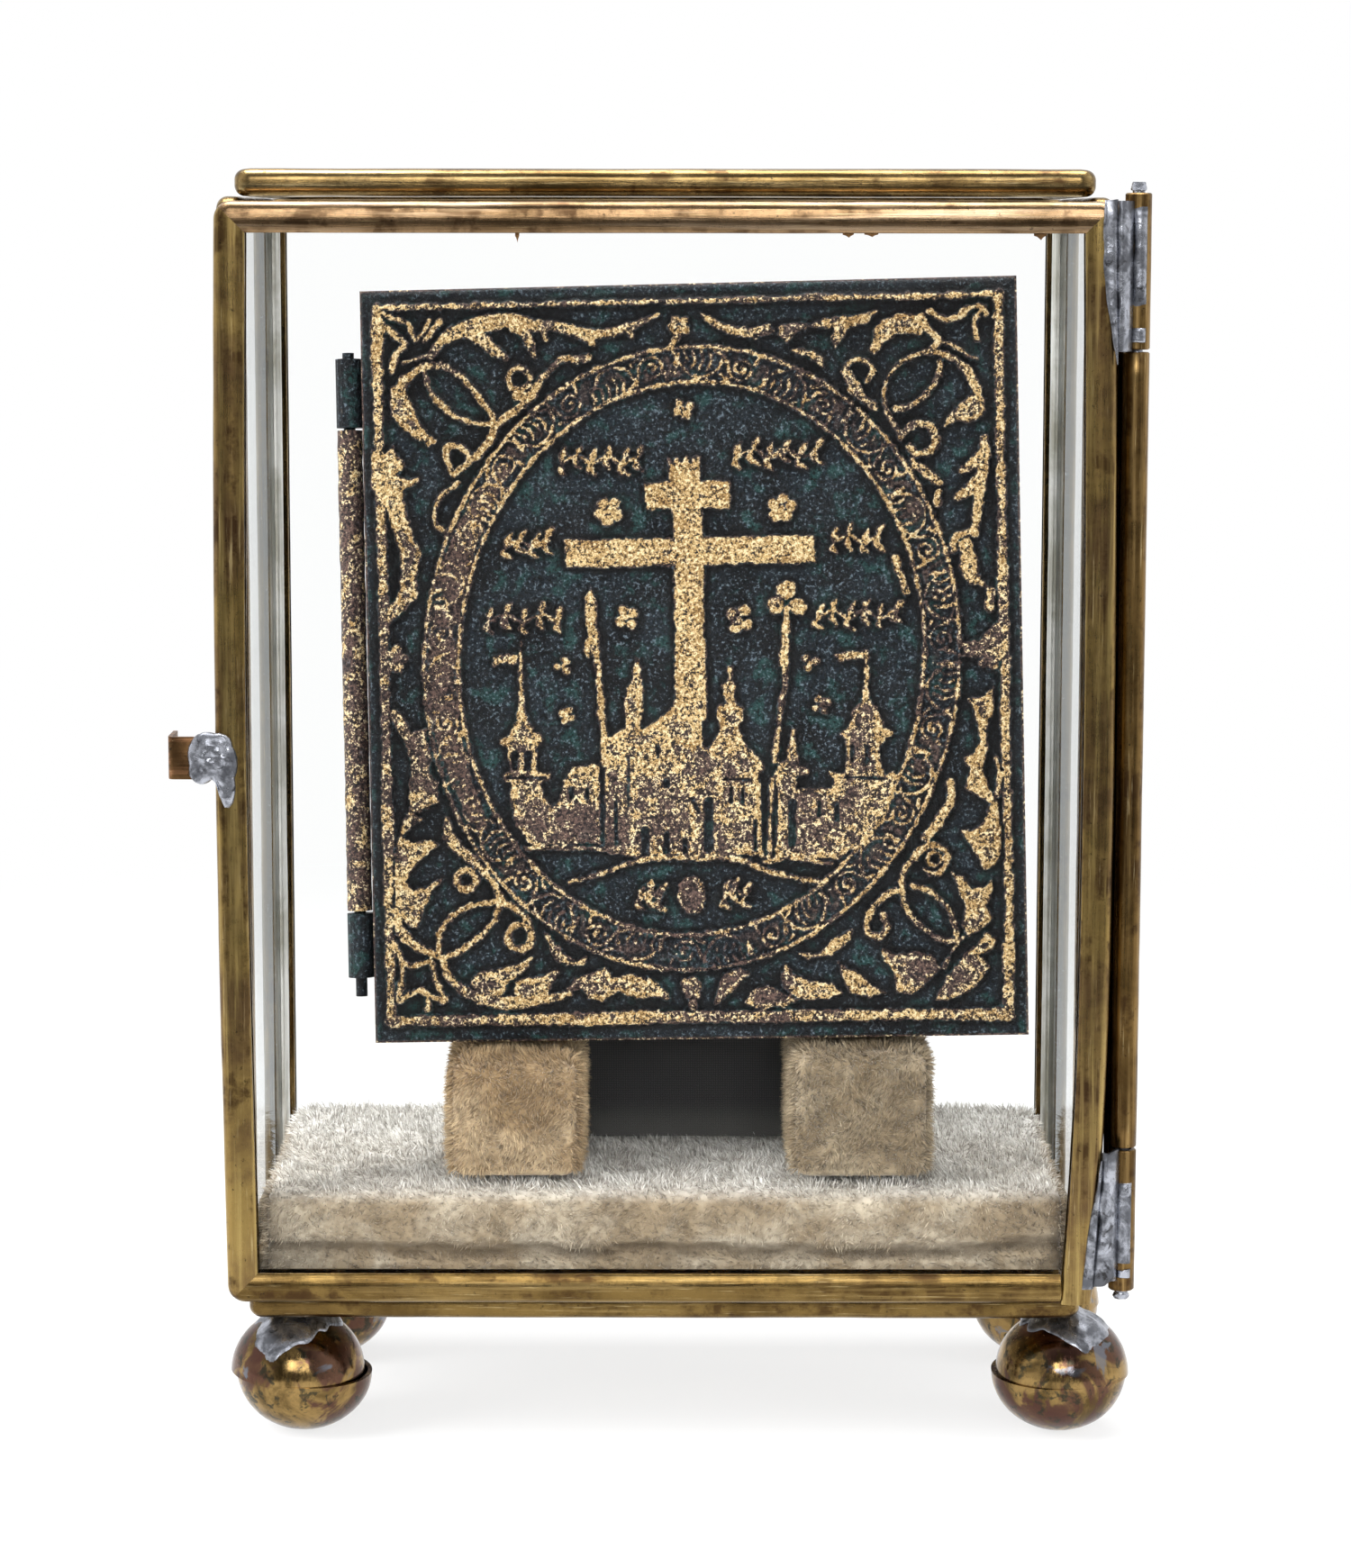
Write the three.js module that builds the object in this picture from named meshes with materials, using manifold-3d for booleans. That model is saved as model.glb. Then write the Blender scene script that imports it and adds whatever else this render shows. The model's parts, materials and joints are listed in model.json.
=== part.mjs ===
// A folding cast-bronze travel icon standing in its small brass and glass display case.
// Millimetres, +Z up. The case's front, with its hinged door, faces -Y.
import * as THREE from "three";
import { mergeVertices } from "three/addons/utils/BufferGeometryUtils.js";
import Module from "manifold-3d";

// Case body: panels of glass edged with folded brass channel, soldered together
const caseDepth = 57;
const lidSideInset = 2.5;
const lidSetback = 2.4;
const doorGap = 0.6;
const doorSideInset = 0.1;
const doorLift = 3.5;
const doorTopDrop = 4.4;

// Room in the case round the icon
const iconSideRoom = 15;
const iconHeadroom = 13.6;

// Brass channel that edges every pane
const cameWidth = 4.4;
const cameThickness = 3.8;
const cameLipThickness = 3.1;
const cameWall = 0.45;
const cameBackRadius = 1.5;
const cameCornerRound = 1.3;
const mitreGap = 0.12;
const glassThickness = 1.8;
const glassInset = 1.2;
const doorGlassInset = 2.3;

// The door's right stile is bent a little, out at its middle and in at its foot
const stileBow = 0.8;
const stileFootBend = 1.3;
const stileFootShare = 0.3;

// How finely round forms are divided
const weldTolerance = 1e-4;
const cornerSegments = 4;
const tubeSegments = 20;
const pinSegments = 14;
const knuckleSegments = 16;
const footSegments = 20;
const domeSteps = 6;
const stileSteps = 16;
const ellipseSegments = 44;
const ringSegments = 16;
const bossSegments = 8;

// Door hinge: three tubes on one pin
const hingeRadius = 1.85;
const hingeBore = 1.15;
const hingeGap = 1.3;
const hingeAxisDepth = 4;
const hingePinRadius = 0.9;
const pinHeadRadius = 1.3;
const pinEndShare = 0.8;
const pinHeadLength = 1.2;
const pinHeadClearance = 0.35;
const knuckleClearance = 0.35;
const upperKnuckleLength = 21.6;
const upperKnuckleTopLift = 1.2;
const lowerKnuckleLength = 20.6;
const lowerKnuckleFootLift = 1.4;
const solderOverStile = 4.1;
const solderThickness = 0.9;
const solderClearance = 0.3;
const filletEndDegrees = 153;
const barrelSolderMargin = 1.2;
const barrelSolderDepth = 1.6;
const stripFromDegrees = 155;
const stripToDegrees = 99;

// Spring catch on the door's left stile
const catchHeight = 6;
const catchThickness = 0.5;
const catchReach = 7.3;
const catchReturn = 5;
const catchBendRadius = 1.6;
const catchFromDoorFoot = 78.8;
const catchTail = 4.2;
const catchSolderWidth = 7;
const catchSolderHeight = 8;
const catchSolderTail = 3.2;
const catchSolderThickness = 1.3;
const solderRunWidth = 2.4;
const solderRunOffset = 1.9;
const catchSolderOverhang = 0.9;

// Feet: two pressed domes rim to rim, with a collar of solder on top
const footHeight = 18.3;
const footUpperRadius = 9.5;
const footLowerRadius = 9.85;
const footSeamHeight = 8.6;
const footShell = 0.7;
const footFlatRadius = 1.6;
const footSetback = 11.5;
const footLeftInset = 9.9;
const footRightInset = 4.9;
const footSolderRadius = 7.2;
const footSolderThickness = 0.45;
const footSolderDrop = 1.7;
const footSolderClearance = 0.6;
const footSolderLip = 0.35;

// Velvet-covered base and blocks, and the upright board that the icon leans on
const velvetSideClearance = 0.6;
const velvetFrontSetback = 1.4;
const velvetBackSetback = 1.1;
const velvetBaseHeight = 15.6;
const velvetRound = 2.4;
const blockRound = 1.6;
const softClearance = 0.3;
const leftBlockWidth = 19.4;
const leftBlockHeight = 17.6;
const leftBlockInset = 20.4;
const rightBlockWidth = 20.4;
const rightBlockInset = 24.5;
const blockSetback = 4.1;
const blockDepth = 27;
const boardSideInset = 2;
const boardBelowIconTop = 15;
const boardThickness = 3;
const boardCornerRadius = 4;

// The icon: two cast leaves on a pin at their left edges
const iconWidth = 95;
const iconHeight = 109.4;
const leafThickness = 3.2;
const leafGap = 0.5;
const reliefHeight = 0.8;
const iconCornerRadius = 0.8;
const insideBorder = 7;
const insideRecess = 0.8;
const iconKnuckleRadius = 1.9;
const iconPinRadius = 0.85;
const iconPinBore = 1.15;
const iconKnuckleClearance = 0.4;
const iconLugThickness = 2.4;
const iconPinTopEnd = 0.9;
const iconPinFootEnd = 2.8;
const upperKnuckleFromTop = 9.6;
const iconUpperKnuckleLength = 10;
const lowerKnuckleFromFoot = 9.4;
const iconLowerKnuckleLength = 9.4;
const iconOffset = 5.4;
const iconSetback = 9.8;
const iconYawDegrees = -3.4;
const iconLeanDegrees = 5.6;
const iconRollDegrees = 1.5;

// Relief on the icon's front
const borderInset = 2.4;
const borderLine = 1.4;
const bandLine = 0.9;
const bandWidth = 5.6;
const reliefSink = 0.25;
const bandRelief = 0.45;
const hillLine = 0.8;
const ringLine = 0.9;

// Places worked out from the sizes above
const caseWidth = iconWidth + 2 * iconSideRoom;
const caseHeight =
  2 * cameThickness + velvetBaseHeight + softClearance + leftBlockHeight + iconHeight + iconHeadroom;
const lidWidth = caseWidth - 2 * lidSideInset;
const doorWidth = caseWidth - 2 * doorSideInset;
const doorHeight = caseHeight - doorLift - doorTopDrop;
const bodyFloor = footHeight;
const bodyFront = cameThickness + doorGap;
const bodyBack = bodyFront + caseDepth;
const wallFloor = bodyFloor + cameThickness;
const wallTop = bodyFloor + caseHeight - cameThickness;
const wallHeight = wallTop - wallFloor;
const wallMid = (wallTop + wallFloor) / 2;
const backPanelMid = bodyBack - cameThickness / 2;
const sideDepth = caseDepth - cameThickness;
const sideMid = bodyFront + sideDepth / 2;
const lidDepth = caseDepth - lidSetback;
const doorFloor = bodyFloor + doorLift;
const doorTop = doorFloor + doorHeight;
const hingeX = caseWidth / 2 + hingeGap + hingeRadius;
const hingeY = hingeAxisDepth;
const catchOut = -doorWidth / 2 - catchReach;
const catchCentreHeight = doorFloor + catchFromDoorFoot;
const catchSolderFront = -solderClearance - catchThickness - catchSolderThickness;
const iconYaw = THREE.MathUtils.degToRad(iconYawDegrees);
const iconLean = THREE.MathUtils.degToRad(iconLeanDegrees);
const iconRoll = THREE.MathUtils.degToRad(iconRollDegrees);
const leftBlockOffset = iconOffset - iconWidth / 2 + leftBlockInset;
const rightBlockOffset = iconOffset + iconWidth / 2 - rightBlockInset;
const leftBlockEdge = leftBlockOffset - leftBlockWidth / 2;
const rightBlockEdge = rightBlockOffset - rightBlockWidth / 2;

// The icon's foot slopes up to the right, so its left end is nearest to the blocks
const iconBackHalf = leafGap / 2 + leafThickness;
const iconLift =
  softClearance + iconBackHalf * Math.sin(iconLean) + (iconOffset - leftBlockEdge) * Math.sin(iconRoll);
const rightBlockHeight = leftBlockHeight + (rightBlockEdge - leftBlockEdge) * Math.sin(iconRoll);

const root = new THREE.Group();

const brass = (name) => material(name, 0x8a6a34, 0.32, 0.95);
const darkBrass = (name) => material(name, 0x6b5230, 0.4, 0.9);
const solder = (name) => material(name, 0x8f959b, 0.5, 0.8);
const velvet = (name) => material(name, 0xb9ab97, 1, 0);
const bronze = (name) => material(name, 0x3c3d33, 0.55, 0.7);

function material(name, color, roughness, metalness) {
  return new THREE.MeshStandardMaterial({ name, color, roughness, metalness });
}

function glassMaterial(name) {
  const glass = material(name, 0xe6eeec, 0.05, 0);
  glass.transparent = true;
  glass.opacity = 0.25;
  return glass;
}

function addPiece(parent, name, geometry, finish) {
  const mesh = new THREE.Mesh(geometry, finish(name + "_finish"));
  mesh.name = name;
  parent.add(mesh);
  return mesh;
}

// Solid joins and cuts
const wasm = await Module();
wasm.setup();

function toSolid(geometry) {
  const bare = geometry.clone();
  bare.deleteAttribute("normal");
  bare.deleteAttribute("uv");
  const merged = mergeVertices(bare, weldTolerance);
  return new wasm.Manifold(
    new wasm.Mesh({
      numProp: 3,
      vertProperties: merged.attributes.position.array,
      triVerts: new Uint32Array(merged.index.array),
    }),
  );
}

function toGeometry(solid) {
  const mesh = solid.getMesh();
  const geometry = new THREE.BufferGeometry();
  const places = new THREE.Float32BufferAttribute(mesh.vertProperties, mesh.numProp);
  geometry.setAttribute("position", places);
  geometry.setIndex([...mesh.triVerts]);
  geometry.computeVertexNormals();
  return geometry;
}

const joinAll = (solids) => solids.reduce((whole, next) => whole.add(next));

// Outlines
function outline(points) {
  return new THREE.Shape(points.map(([x, y]) => new THREE.Vector2(x, y)));
}

function roundedRectangle(width, height, radius) {
  const x = width / 2;
  const y = height / 2;
  const shape = new THREE.Shape();
  shape.moveTo(-x + radius, -y);
  shape.lineTo(x - radius, -y);
  shape.absarc(x - radius, -y + radius, radius, -Math.PI / 2, 0);
  shape.lineTo(x, y - radius);
  shape.absarc(x - radius, y - radius, radius, 0, Math.PI / 2);
  shape.lineTo(-x + radius, y);
  shape.absarc(-x + radius, y - radius, radius, Math.PI / 2, Math.PI);
  shape.lineTo(-x, -y + radius);
  shape.absarc(-x + radius, -y + radius, radius, Math.PI, Math.PI * 1.5);
  return shape;
}

function extrude(shape, depth, curveSegments = cornerSegments) {
  return new THREE.ExtrudeGeometry(shape, { depth, bevelEnabled: false, curveSegments });
}

// A solid of revolution about the upright axis, from [radius, height] points
function turned(profile, segments) {
  const points = profile.map(([r, z]) => new THREE.Vector2(r, z));
  return new THREE.LatheGeometry(points, segments).rotateX(Math.PI / 2);
}

// A cushion-like slab with every edge rounded, centred in plan, standing on zero
function softSlab(width, depth, height, round) {
  const shape = roundedRectangle(width - 2 * round, depth - 2 * round, round / 2);
  const slab = new THREE.ExtrudeGeometry(shape, {
    depth: height - 2 * round,
    bevelThickness: round,
    bevelSize: round,
    bevelSegments: cornerSegments,
    curveSegments: cornerSegments,
  });
  return slab.translate(0, 0, round);
}

// The channel's section: thickness across, distance from the panel's outer edge upwards
function cameSection() {
  const half = cameThickness / 2;
  const lip = cameLipThickness / 2;
  const r = cameBackRadius;
  const shape = new THREE.Shape();
  shape.moveTo(-lip, cameWidth);
  shape.lineTo(-half, r);
  shape.absarc(-half + r, r, r, Math.PI, Math.PI * 1.5);
  shape.lineTo(half - r, 0);
  shape.absarc(half - r, r, r, -Math.PI / 2, 0);
  shape.lineTo(lip, cameWidth);
  shape.lineTo(lip - cameWall, cameWidth);
  shape.lineTo(half - cameWall, r);
  shape.lineTo(half - r, cameWall);
  shape.lineTo(-half + r, cameWall);
  shape.lineTo(-half + cameWall, r);
  shape.lineTo(-lip + cameWall, cameWidth);
  return shape;
}

// How far short of a rail's full length its end lies, at a distance from the outer edge
const endCuts = {
  mitre: (inward) => mitreGap / 2 + Math.max(inward, cameCornerRound - inward),
  // The foot of the door's bent stile leans in, so the rail that meets it stops short of it
  butt: () => cameWidth + stileFootBend + mitreGap,
  through: () => 0,
};

// One rail along X, its outer edge on Z = 0 and its opening upwards
function rail(length, { start = "mitre", end = "mitre", bow = () => 0, steps = 1 } = {}) {
  const geometry = new THREE.ExtrudeGeometry(cameSection(), {
    depth: 1,
    steps,
    bevelEnabled: false,
    curveSegments: cornerSegments,
  });
  const places = geometry.attributes.position;
  for (let i = 0; i < places.count; i++) {
    const across = places.getX(i);
    const inward = places.getY(i);
    const share = places.getZ(i);
    const from = -length / 2 + endCuts[start](inward);
    const to = length / 2 - endCuts[end](inward);
    places.setXYZ(i, from + (to - from) * share, across, inward - bow(share));
  }
  geometry.computeVertexNormals();
  return geometry;
}

// A pane in its four rails, upright in the XZ plane about its own centre
function panel(parent, name, width, height, options = {}) {
  const { sides, inset = glassInset, cuts = {}, finish = brass } = options;
  const turns = [
    { side: sides[0], angle: 0, length: width, x: 0, z: -height / 2 },
    { side: sides[1], angle: -Math.PI / 2, length: height, x: width / 2, z: 0 },
    { side: sides[2], angle: Math.PI, length: width, x: 0, z: height / 2 },
    { side: sides[3], angle: Math.PI / 2, length: height, x: -width / 2, z: 0 },
  ];
  const group = new THREE.Group();
  for (const { side, angle, length, x, z } of turns) {
    const piece = addPiece(group, `${name}_${side}`, rail(length, cuts[side]), finish);
    piece.position.set(x, 0, z);
    piece.rotation.y = angle;
  }
  const pane = new THREE.BoxGeometry(width - 2 * inset, glassThickness, height - 2 * inset);
  addPiece(group, `${name}_glass`, pane, glassMaterial);
  parent.add(group);
  return group;
}

// Case body panels
function buildBody(parent) {
  const uprightSides = ["rail_bottom", "rail_right", "rail_top", "rail_left"];
  const sideSides = ["rail_bottom", "rail_back", "rail_top", "rail_front"];
  const flatSides = ["rail_back", "rail_right", "rail_front", "rail_left"];
  const back = panel(parent, "back", caseWidth, wallHeight, { sides: uprightSides });
  back.position.set(0, backPanelMid, wallMid);
  for (const [name, sign] of [["left", -1], ["right", 1]]) {
    const side = panel(parent, name, sideDepth, wallHeight, { sides: sideSides });
    side.rotation.z = Math.PI / 2;
    side.position.set(sign * (caseWidth - cameThickness) / 2, sideMid, wallMid);
  }
  const levels = [
    ["floor", wallFloor - cameThickness / 2],
    ["top", wallTop + cameThickness / 2],
  ];
  for (const [name, level] of levels) {
    const flat = panel(parent, name, lidWidth, lidDepth, { sides: flatSides });
    flat.rotation.x = Math.PI / 2;
    flat.position.set(0, bodyFront + lidDepth / 2, level);
  }
}

// The bend of the door's right stile, outwards positive, from its foot to its top
function stileBend(share) {
  const foot = Math.max(0, 1 - share / stileFootShare);
  return stileBow * Math.sin(Math.PI * share) - stileFootBend * foot * foot;
}

function buildDoor(parent) {
  const cuts = {
    rail_bottom: { end: "butt" },
    rail_right: { start: "through", bow: stileBend, steps: stileSteps },
  };
  const sides = ["rail_bottom", "rail_right", "rail_top", "rail_left"];
  const door = panel(parent, "door", doorWidth, doorHeight, {
    sides,
    inset: doorGlassInset,
    cuts,
  });
  door.position.set(0, cameThickness / 2, (doorFloor + doorTop) / 2);
}

// A tube about the hinge axis from one height to another
function hingeTube(from, to) {
  const profile = [
    [hingeBore, from],
    [hingeRadius, from],
    [hingeRadius, to],
    [hingeBore, to],
    [hingeBore, from],
  ];
  return turned(profile, tubeSegments).translate(hingeX, hingeY, 0);
}

function buildHinge(parent) {
  const top = doorTop + upperKnuckleTopLift;
  const upperFoot = top - upperKnuckleLength;
  const foot = doorFloor + lowerKnuckleFootLift;
  const lowerTop = foot + lowerKnuckleLength;
  const barrelFrom = lowerTop + knuckleClearance;
  const barrelTo = upperFoot - knuckleClearance;
  addPiece(parent, "hinge_knuckle_upper", hingeTube(upperFoot, top), brass);
  addPiece(parent, "hinge_knuckle_lower", hingeTube(foot, lowerTop), brass);
  addPiece(parent, "hinge_barrel", hingeTube(barrelFrom, barrelTo), brass);

  const pinFoot = foot - pinHeadClearance;
  const pinTop = top + pinHeadClearance;
  const pinEndRadius = pinHeadRadius * pinEndShare;
  const pinProfile = [
    [0, pinFoot - pinHeadLength],
    [pinEndRadius, pinFoot - pinHeadLength],
    [pinHeadRadius, pinFoot - pinHeadLength / 2],
    [pinHeadRadius, pinFoot],
    [hingePinRadius, pinFoot],
    [hingePinRadius, pinTop],
    [pinHeadRadius, pinTop],
    [pinHeadRadius, pinTop + pinHeadLength / 2],
    [pinEndRadius, pinTop + pinHeadLength],
    [0, pinTop + pinHeadLength],
  ];
  addPiece(parent, "hinge_pin", turned(pinProfile, pinSegments).translate(hingeX, hingeY, 0), solder);

  // Solder fillets: a concave web from the door stile round the front of each knuckle
  const stileEdge = doorWidth / 2;
  const webEdge = stileEdge + stileBow + solderClearance;
  const webBack = hingeY - solderThickness;
  const filletWrap = hingeRadius + solderClearance;
  const filletEnd = -THREE.MathUtils.degToRad(filletEndDegrees);
  for (const [name, from, to] of [
    ["hinge_solder_upper", upperFoot, top],
    ["hinge_solder_lower", foot, lowerTop],
  ]) {
    const web = new THREE.Shape();
    const startX = stileEdge - solderOverStile;
    const frontY = -solderThickness;
    web.moveTo(startX, -solderClearance);
    web.lineTo(startX, frontY);
    web.lineTo(stileEdge, frontY);
    web.quadraticCurveTo(hingeX - hingeRadius, frontY, hingeX, hingeY - hingeRadius - solderThickness);
    web.lineTo(hingeX, hingeY - filletWrap);
    web.absarc(hingeX, hingeY, filletWrap, -Math.PI / 2, filletEnd, true);
    web.lineTo(webEdge, webBack);
    web.lineTo(webEdge, -solderClearance);
    const length = to - from - 2 * solderThickness;
    const piece = extrude(web, length).translate(0, 0, from + solderThickness);
    addPiece(parent, name, piece, solder);
  }

  // Solder strip between the long barrel and the case's front corner
  const strip = new THREE.Shape();
  const panelFace = caseWidth / 2 + solderClearance / 2;
  const stripWrap = hingeRadius + solderClearance / 2;
  const stripFrom = THREE.MathUtils.degToRad(stripFromDegrees);
  const stripTo = THREE.MathUtils.degToRad(stripToDegrees);
  strip.moveTo(panelFace, bodyFront + cameBackRadius);
  strip.absarc(hingeX, hingeY, stripWrap, stripFrom, stripTo, true);
  strip.lineTo(panelFace, hingeY + hingeRadius + barrelSolderDepth);
  const stripLength = barrelTo - barrelFrom - 2 * barrelSolderMargin;
  const stripFoot = barrelFrom + barrelSolderMargin;
  addPiece(parent, "hinge_solder_barrel", extrude(strip, stripLength).translate(0, 0, stripFoot), solder);
}

// A bent brass strip that springs over the case's left side, held by a lump of solder
function buildCatch(parent) {
  const inner = -doorWidth / 2 + catchTail;
  const front = -solderClearance;
  const t = catchThickness;
  const r = catchBendRadius;
  const strip = new THREE.Shape();
  strip.moveTo(inner, front);
  strip.lineTo(inner, front - t);
  strip.lineTo(catchOut + r + t, front - t);
  strip.absarc(catchOut + r + t, front + r, r + t, -Math.PI / 2, -Math.PI, true);
  strip.lineTo(catchOut, front + r + catchReturn);
  strip.lineTo(catchOut + t, front + r + catchReturn);
  strip.lineTo(catchOut + t, front + r);
  strip.absarc(catchOut + r + t, front + r, r, Math.PI, Math.PI * 1.5);
  const piece = extrude(strip, catchHeight).translate(0, 0, catchCentreHeight - catchHeight / 2);
  addPiece(parent, "door_catch", piece, brass);

  // Solder lump with a run below it, its flat back against the strip
  const lump = ellipsoid(catchSolderWidth / 2, catchSolderThickness, catchSolderHeight / 2);
  const run = ellipsoid(solderRunWidth / 2, catchSolderThickness / 2, catchSolderTail);
  run.translate(solderRunOffset, 0, -catchSolderHeight / 2);
  const behind = new THREE.BoxGeometry(
    2 * catchSolderWidth,
    2 * catchSolderThickness,
    2 * catchSolderHeight + 2 * catchSolderTail,
  );
  behind.translate(0, catchSolderThickness, 0);
  const mound = toSolid(lump).add(toSolid(run)).subtract(toSolid(behind));
  const place = [-doorWidth / 2 - catchSolderOverhang, front - t, catchCentreHeight];
  addPiece(parent, "catch_solder", toGeometry(mound.translate(place)), solder);
}

function ellipsoid(radiusX, radiusY, radiusZ) {
  return new THREE.SphereGeometry(1, pinSegments, bossSegments).scale(radiusX, radiusY, radiusZ);
}

// One half dome between its pole and its rim, as a closed shell
function domeShell(radius, height) {
  const profile = [];
  const innerRadius = radius - footShell;
  const innerHeight = height - footShell;
  const flatAngle = Math.asin(footFlatRadius / radius);
  profile.push([0, 0]);
  for (let i = 0; i <= domeSteps; i++) {
    const angle = flatAngle + (Math.PI / 2 - flatAngle) * (i / domeSteps);
    const drop = i ? Math.cos(angle) : 1;
    profile.push([radius * Math.sin(angle), height - height * drop]);
  }
  for (let i = domeSteps - 1; i >= 1; i--) {
    const angle = (Math.PI / 2) * (i / (domeSteps - 1));
    profile.push([innerRadius * Math.sin(angle), height - innerHeight * Math.cos(angle)]);
  }
  profile.push([0, footShell]);
  return profile;
}

function buildFeet(parent) {
  const upperHeight = footHeight - footSolderThickness - footSeamHeight;
  const lower = domeShell(footLowerRadius, footSeamHeight);
  const upper = domeShell(footUpperRadius, upperHeight).map(([r, z]) => [
    r,
    footSeamHeight + upperHeight - z,
  ]);
  upper.reverse();
  const domeRadiusAt = (z) => {
    const rise = (z - footSeamHeight) / upperHeight;
    return footUpperRadius * Math.sqrt(Math.max(0, 1 - rise * rise));
  };
  const collarFoot = footHeight - footSolderDrop;
  const collarMid = footHeight - (footSolderDrop + footSolderThickness) / 2;
  const collar = [
    [0, footHeight - footSolderThickness],
    [footFlatRadius + solderClearance, footHeight - footSolderThickness],
    [domeRadiusAt(collarMid) + footSolderClearance, collarMid],
    [domeRadiusAt(collarFoot) + footSolderClearance, collarFoot],
    [footSolderRadius - footSolderLip, collarFoot + footSolderThickness],
    [footSolderRadius, footHeight],
    [0, footHeight],
  ];
  const depths = [
    ["front", bodyFront + footSetback - cameThickness],
    ["back", bodyBack - footSetback],
  ];
  const places = [
    ["left", footLeftInset - caseWidth / 2],
    ["right", caseWidth / 2 - footRightInset],
  ];
  for (const [row, y] of depths) {
    for (const [side, x] of places) {
      const foot = new THREE.Group();
      foot.position.set(x, y, 0);
      addPiece(foot, `foot_${row}_${side}_lower`, turned(lower, footSegments), darkBrass);
      addPiece(foot, `foot_${row}_${side}_upper`, turned(upper, footSegments), darkBrass);
      addPiece(foot, `foot_${row}_${side}_solder`, turned(collar, footSegments), solder);
      parent.add(foot);
    }
  }
}

// Velvet pieces and the board
function buildStand(parent) {
  const width = caseWidth - 2 * (cameThickness + velvetSideClearance);
  const front = bodyFront + velvetFrontSetback;
  const back = bodyBack - cameThickness - velvetBackSetback;
  const base = softSlab(width, back - front, velvetBaseHeight, velvetRound);
  base.translate(0, (front + back) / 2, wallFloor);
  addPiece(parent, "velvet_base", base, velvet);

  const seat = wallFloor + velvetBaseHeight + softClearance;
  const blockFront = bodyFront + blockSetback;
  for (const [name, offset, blockWidth, blockHeight] of [
    ["velvet_block_left", leftBlockOffset, leftBlockWidth, leftBlockHeight],
    ["velvet_block_right", rightBlockOffset, rightBlockWidth, rightBlockHeight],
  ]) {
    const block = softSlab(blockWidth, blockDepth, blockHeight, blockRound);
    block.translate(offset, blockFront + blockDepth / 2, seat);
    addPiece(parent, name, block, velvet);
  }

  const boardShape = new THREE.Shape();
  const rightEdge = rightBlockOffset + rightBlockWidth / 2;
  const half = (rightEdge - leftBlockEdge) / 2 - boardSideInset;
  const boardHeight = leftBlockHeight + iconHeight - boardBelowIconTop;
  const r = boardCornerRadius;
  boardShape.moveTo(-half, 0);
  boardShape.lineTo(half, 0);
  boardShape.lineTo(half, boardHeight - r);
  boardShape.absarc(half - r, boardHeight - r, r, 0, Math.PI / 2);
  boardShape.lineTo(-half + r, boardHeight);
  boardShape.absarc(-half + r, boardHeight - r, r, Math.PI / 2, Math.PI);
  const board = extrude(boardShape, boardThickness).rotateX(Math.PI / 2);
  const boardBack = blockFront + blockDepth + softClearance + boardThickness;
  board.translate((leftBlockEdge + rightEdge) / 2, boardBack, seat);
  addPiece(parent, "back_rest_board", board, (name) => material(name, 0x1c1c20, 0.45, 0));
}

// Raised forms on the icon's face. Shares are of the leaf's width from its left edge and
// of its height from its foot.
const at = ([u, v]) => [(u - 0.5) * iconWidth, v * iconHeight];

const crossShares = [
  [0.47, 0.4], [0.473, 0.627], [0.307, 0.627], [0.307, 0.666], [0.472, 0.666], [0.472, 0.703],
  [0.428, 0.703], [0.428, 0.74], [0.468, 0.74], [0.468, 0.772], [0.518, 0.772], [0.518, 0.74],
  [0.562, 0.74], [0.562, 0.703], [0.52, 0.703], [0.52, 0.666], [0.69, 0.666], [0.69, 0.627],
  [0.52, 0.627], [0.52, 0.4],
];

const cityShares = [
  [0.236, 0.252], [0.2, 0.33], [0.208, 0.354], [0.2, 0.36], [0.208, 0.4], [0.198, 0.405],
  [0.222, 0.44], [0.236, 0.52], [0.25, 0.44], [0.27, 0.405], [0.262, 0.4], [0.278, 0.36],
  [0.27, 0.354], [0.27, 0.32], [0.296, 0.316], [0.302, 0.352], [0.326, 0.368], [0.35, 0.352],
  [0.36, 0.385], [0.372, 0.4], [0.376, 0.46], [0.386, 0.5], [0.398, 0.46], [0.402, 0.402],
  [0.44, 0.41], [0.47, 0.43], [0.52, 0.43], [0.53, 0.41], [0.536, 0.445], [0.556, 0.495],
  [0.572, 0.445], [0.578, 0.41], [0.612, 0.36], [0.63, 0.362], [0.647, 0.408], [0.66, 0.362],
  [0.672, 0.345], [0.706, 0.352], [0.722, 0.4], [0.717, 0.406], [0.75, 0.46], [0.762, 0.527],
  [0.774, 0.46], [0.802, 0.404], [0.796, 0.4], [0.808, 0.35], [0.818, 0.33], [0.763, 0.25],
];

const spearShares = [
  [0.352, 0.38], [0.348, 0.54], [0.338, 0.545], [0.342, 0.585], [0.346, 0.606], [0.352, 0.585],
  [0.356, 0.545], [0.355, 0.54], [0.362, 0.38],
];

const reedShares = [
  [0.62, 0.34], [0.636, 0.55], [0.624, 0.562], [0.626, 0.58], [0.64, 0.582], [0.647, 0.597],
  [0.656, 0.582], [0.668, 0.578], [0.668, 0.562], [0.646, 0.55], [0.63, 0.34],
];

// Pointed leaf-shaped rings in the corners: centre, half length and tilt
const cornerRingShares = [
  [0.154, 0.86, -45], [0.852, 0.86, 45], [0.15, 0.152, 45], [0.848, 0.16, -45],
];
const ringLengthShare = 0.07;
const ringWidthShare = 0.036;

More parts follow.
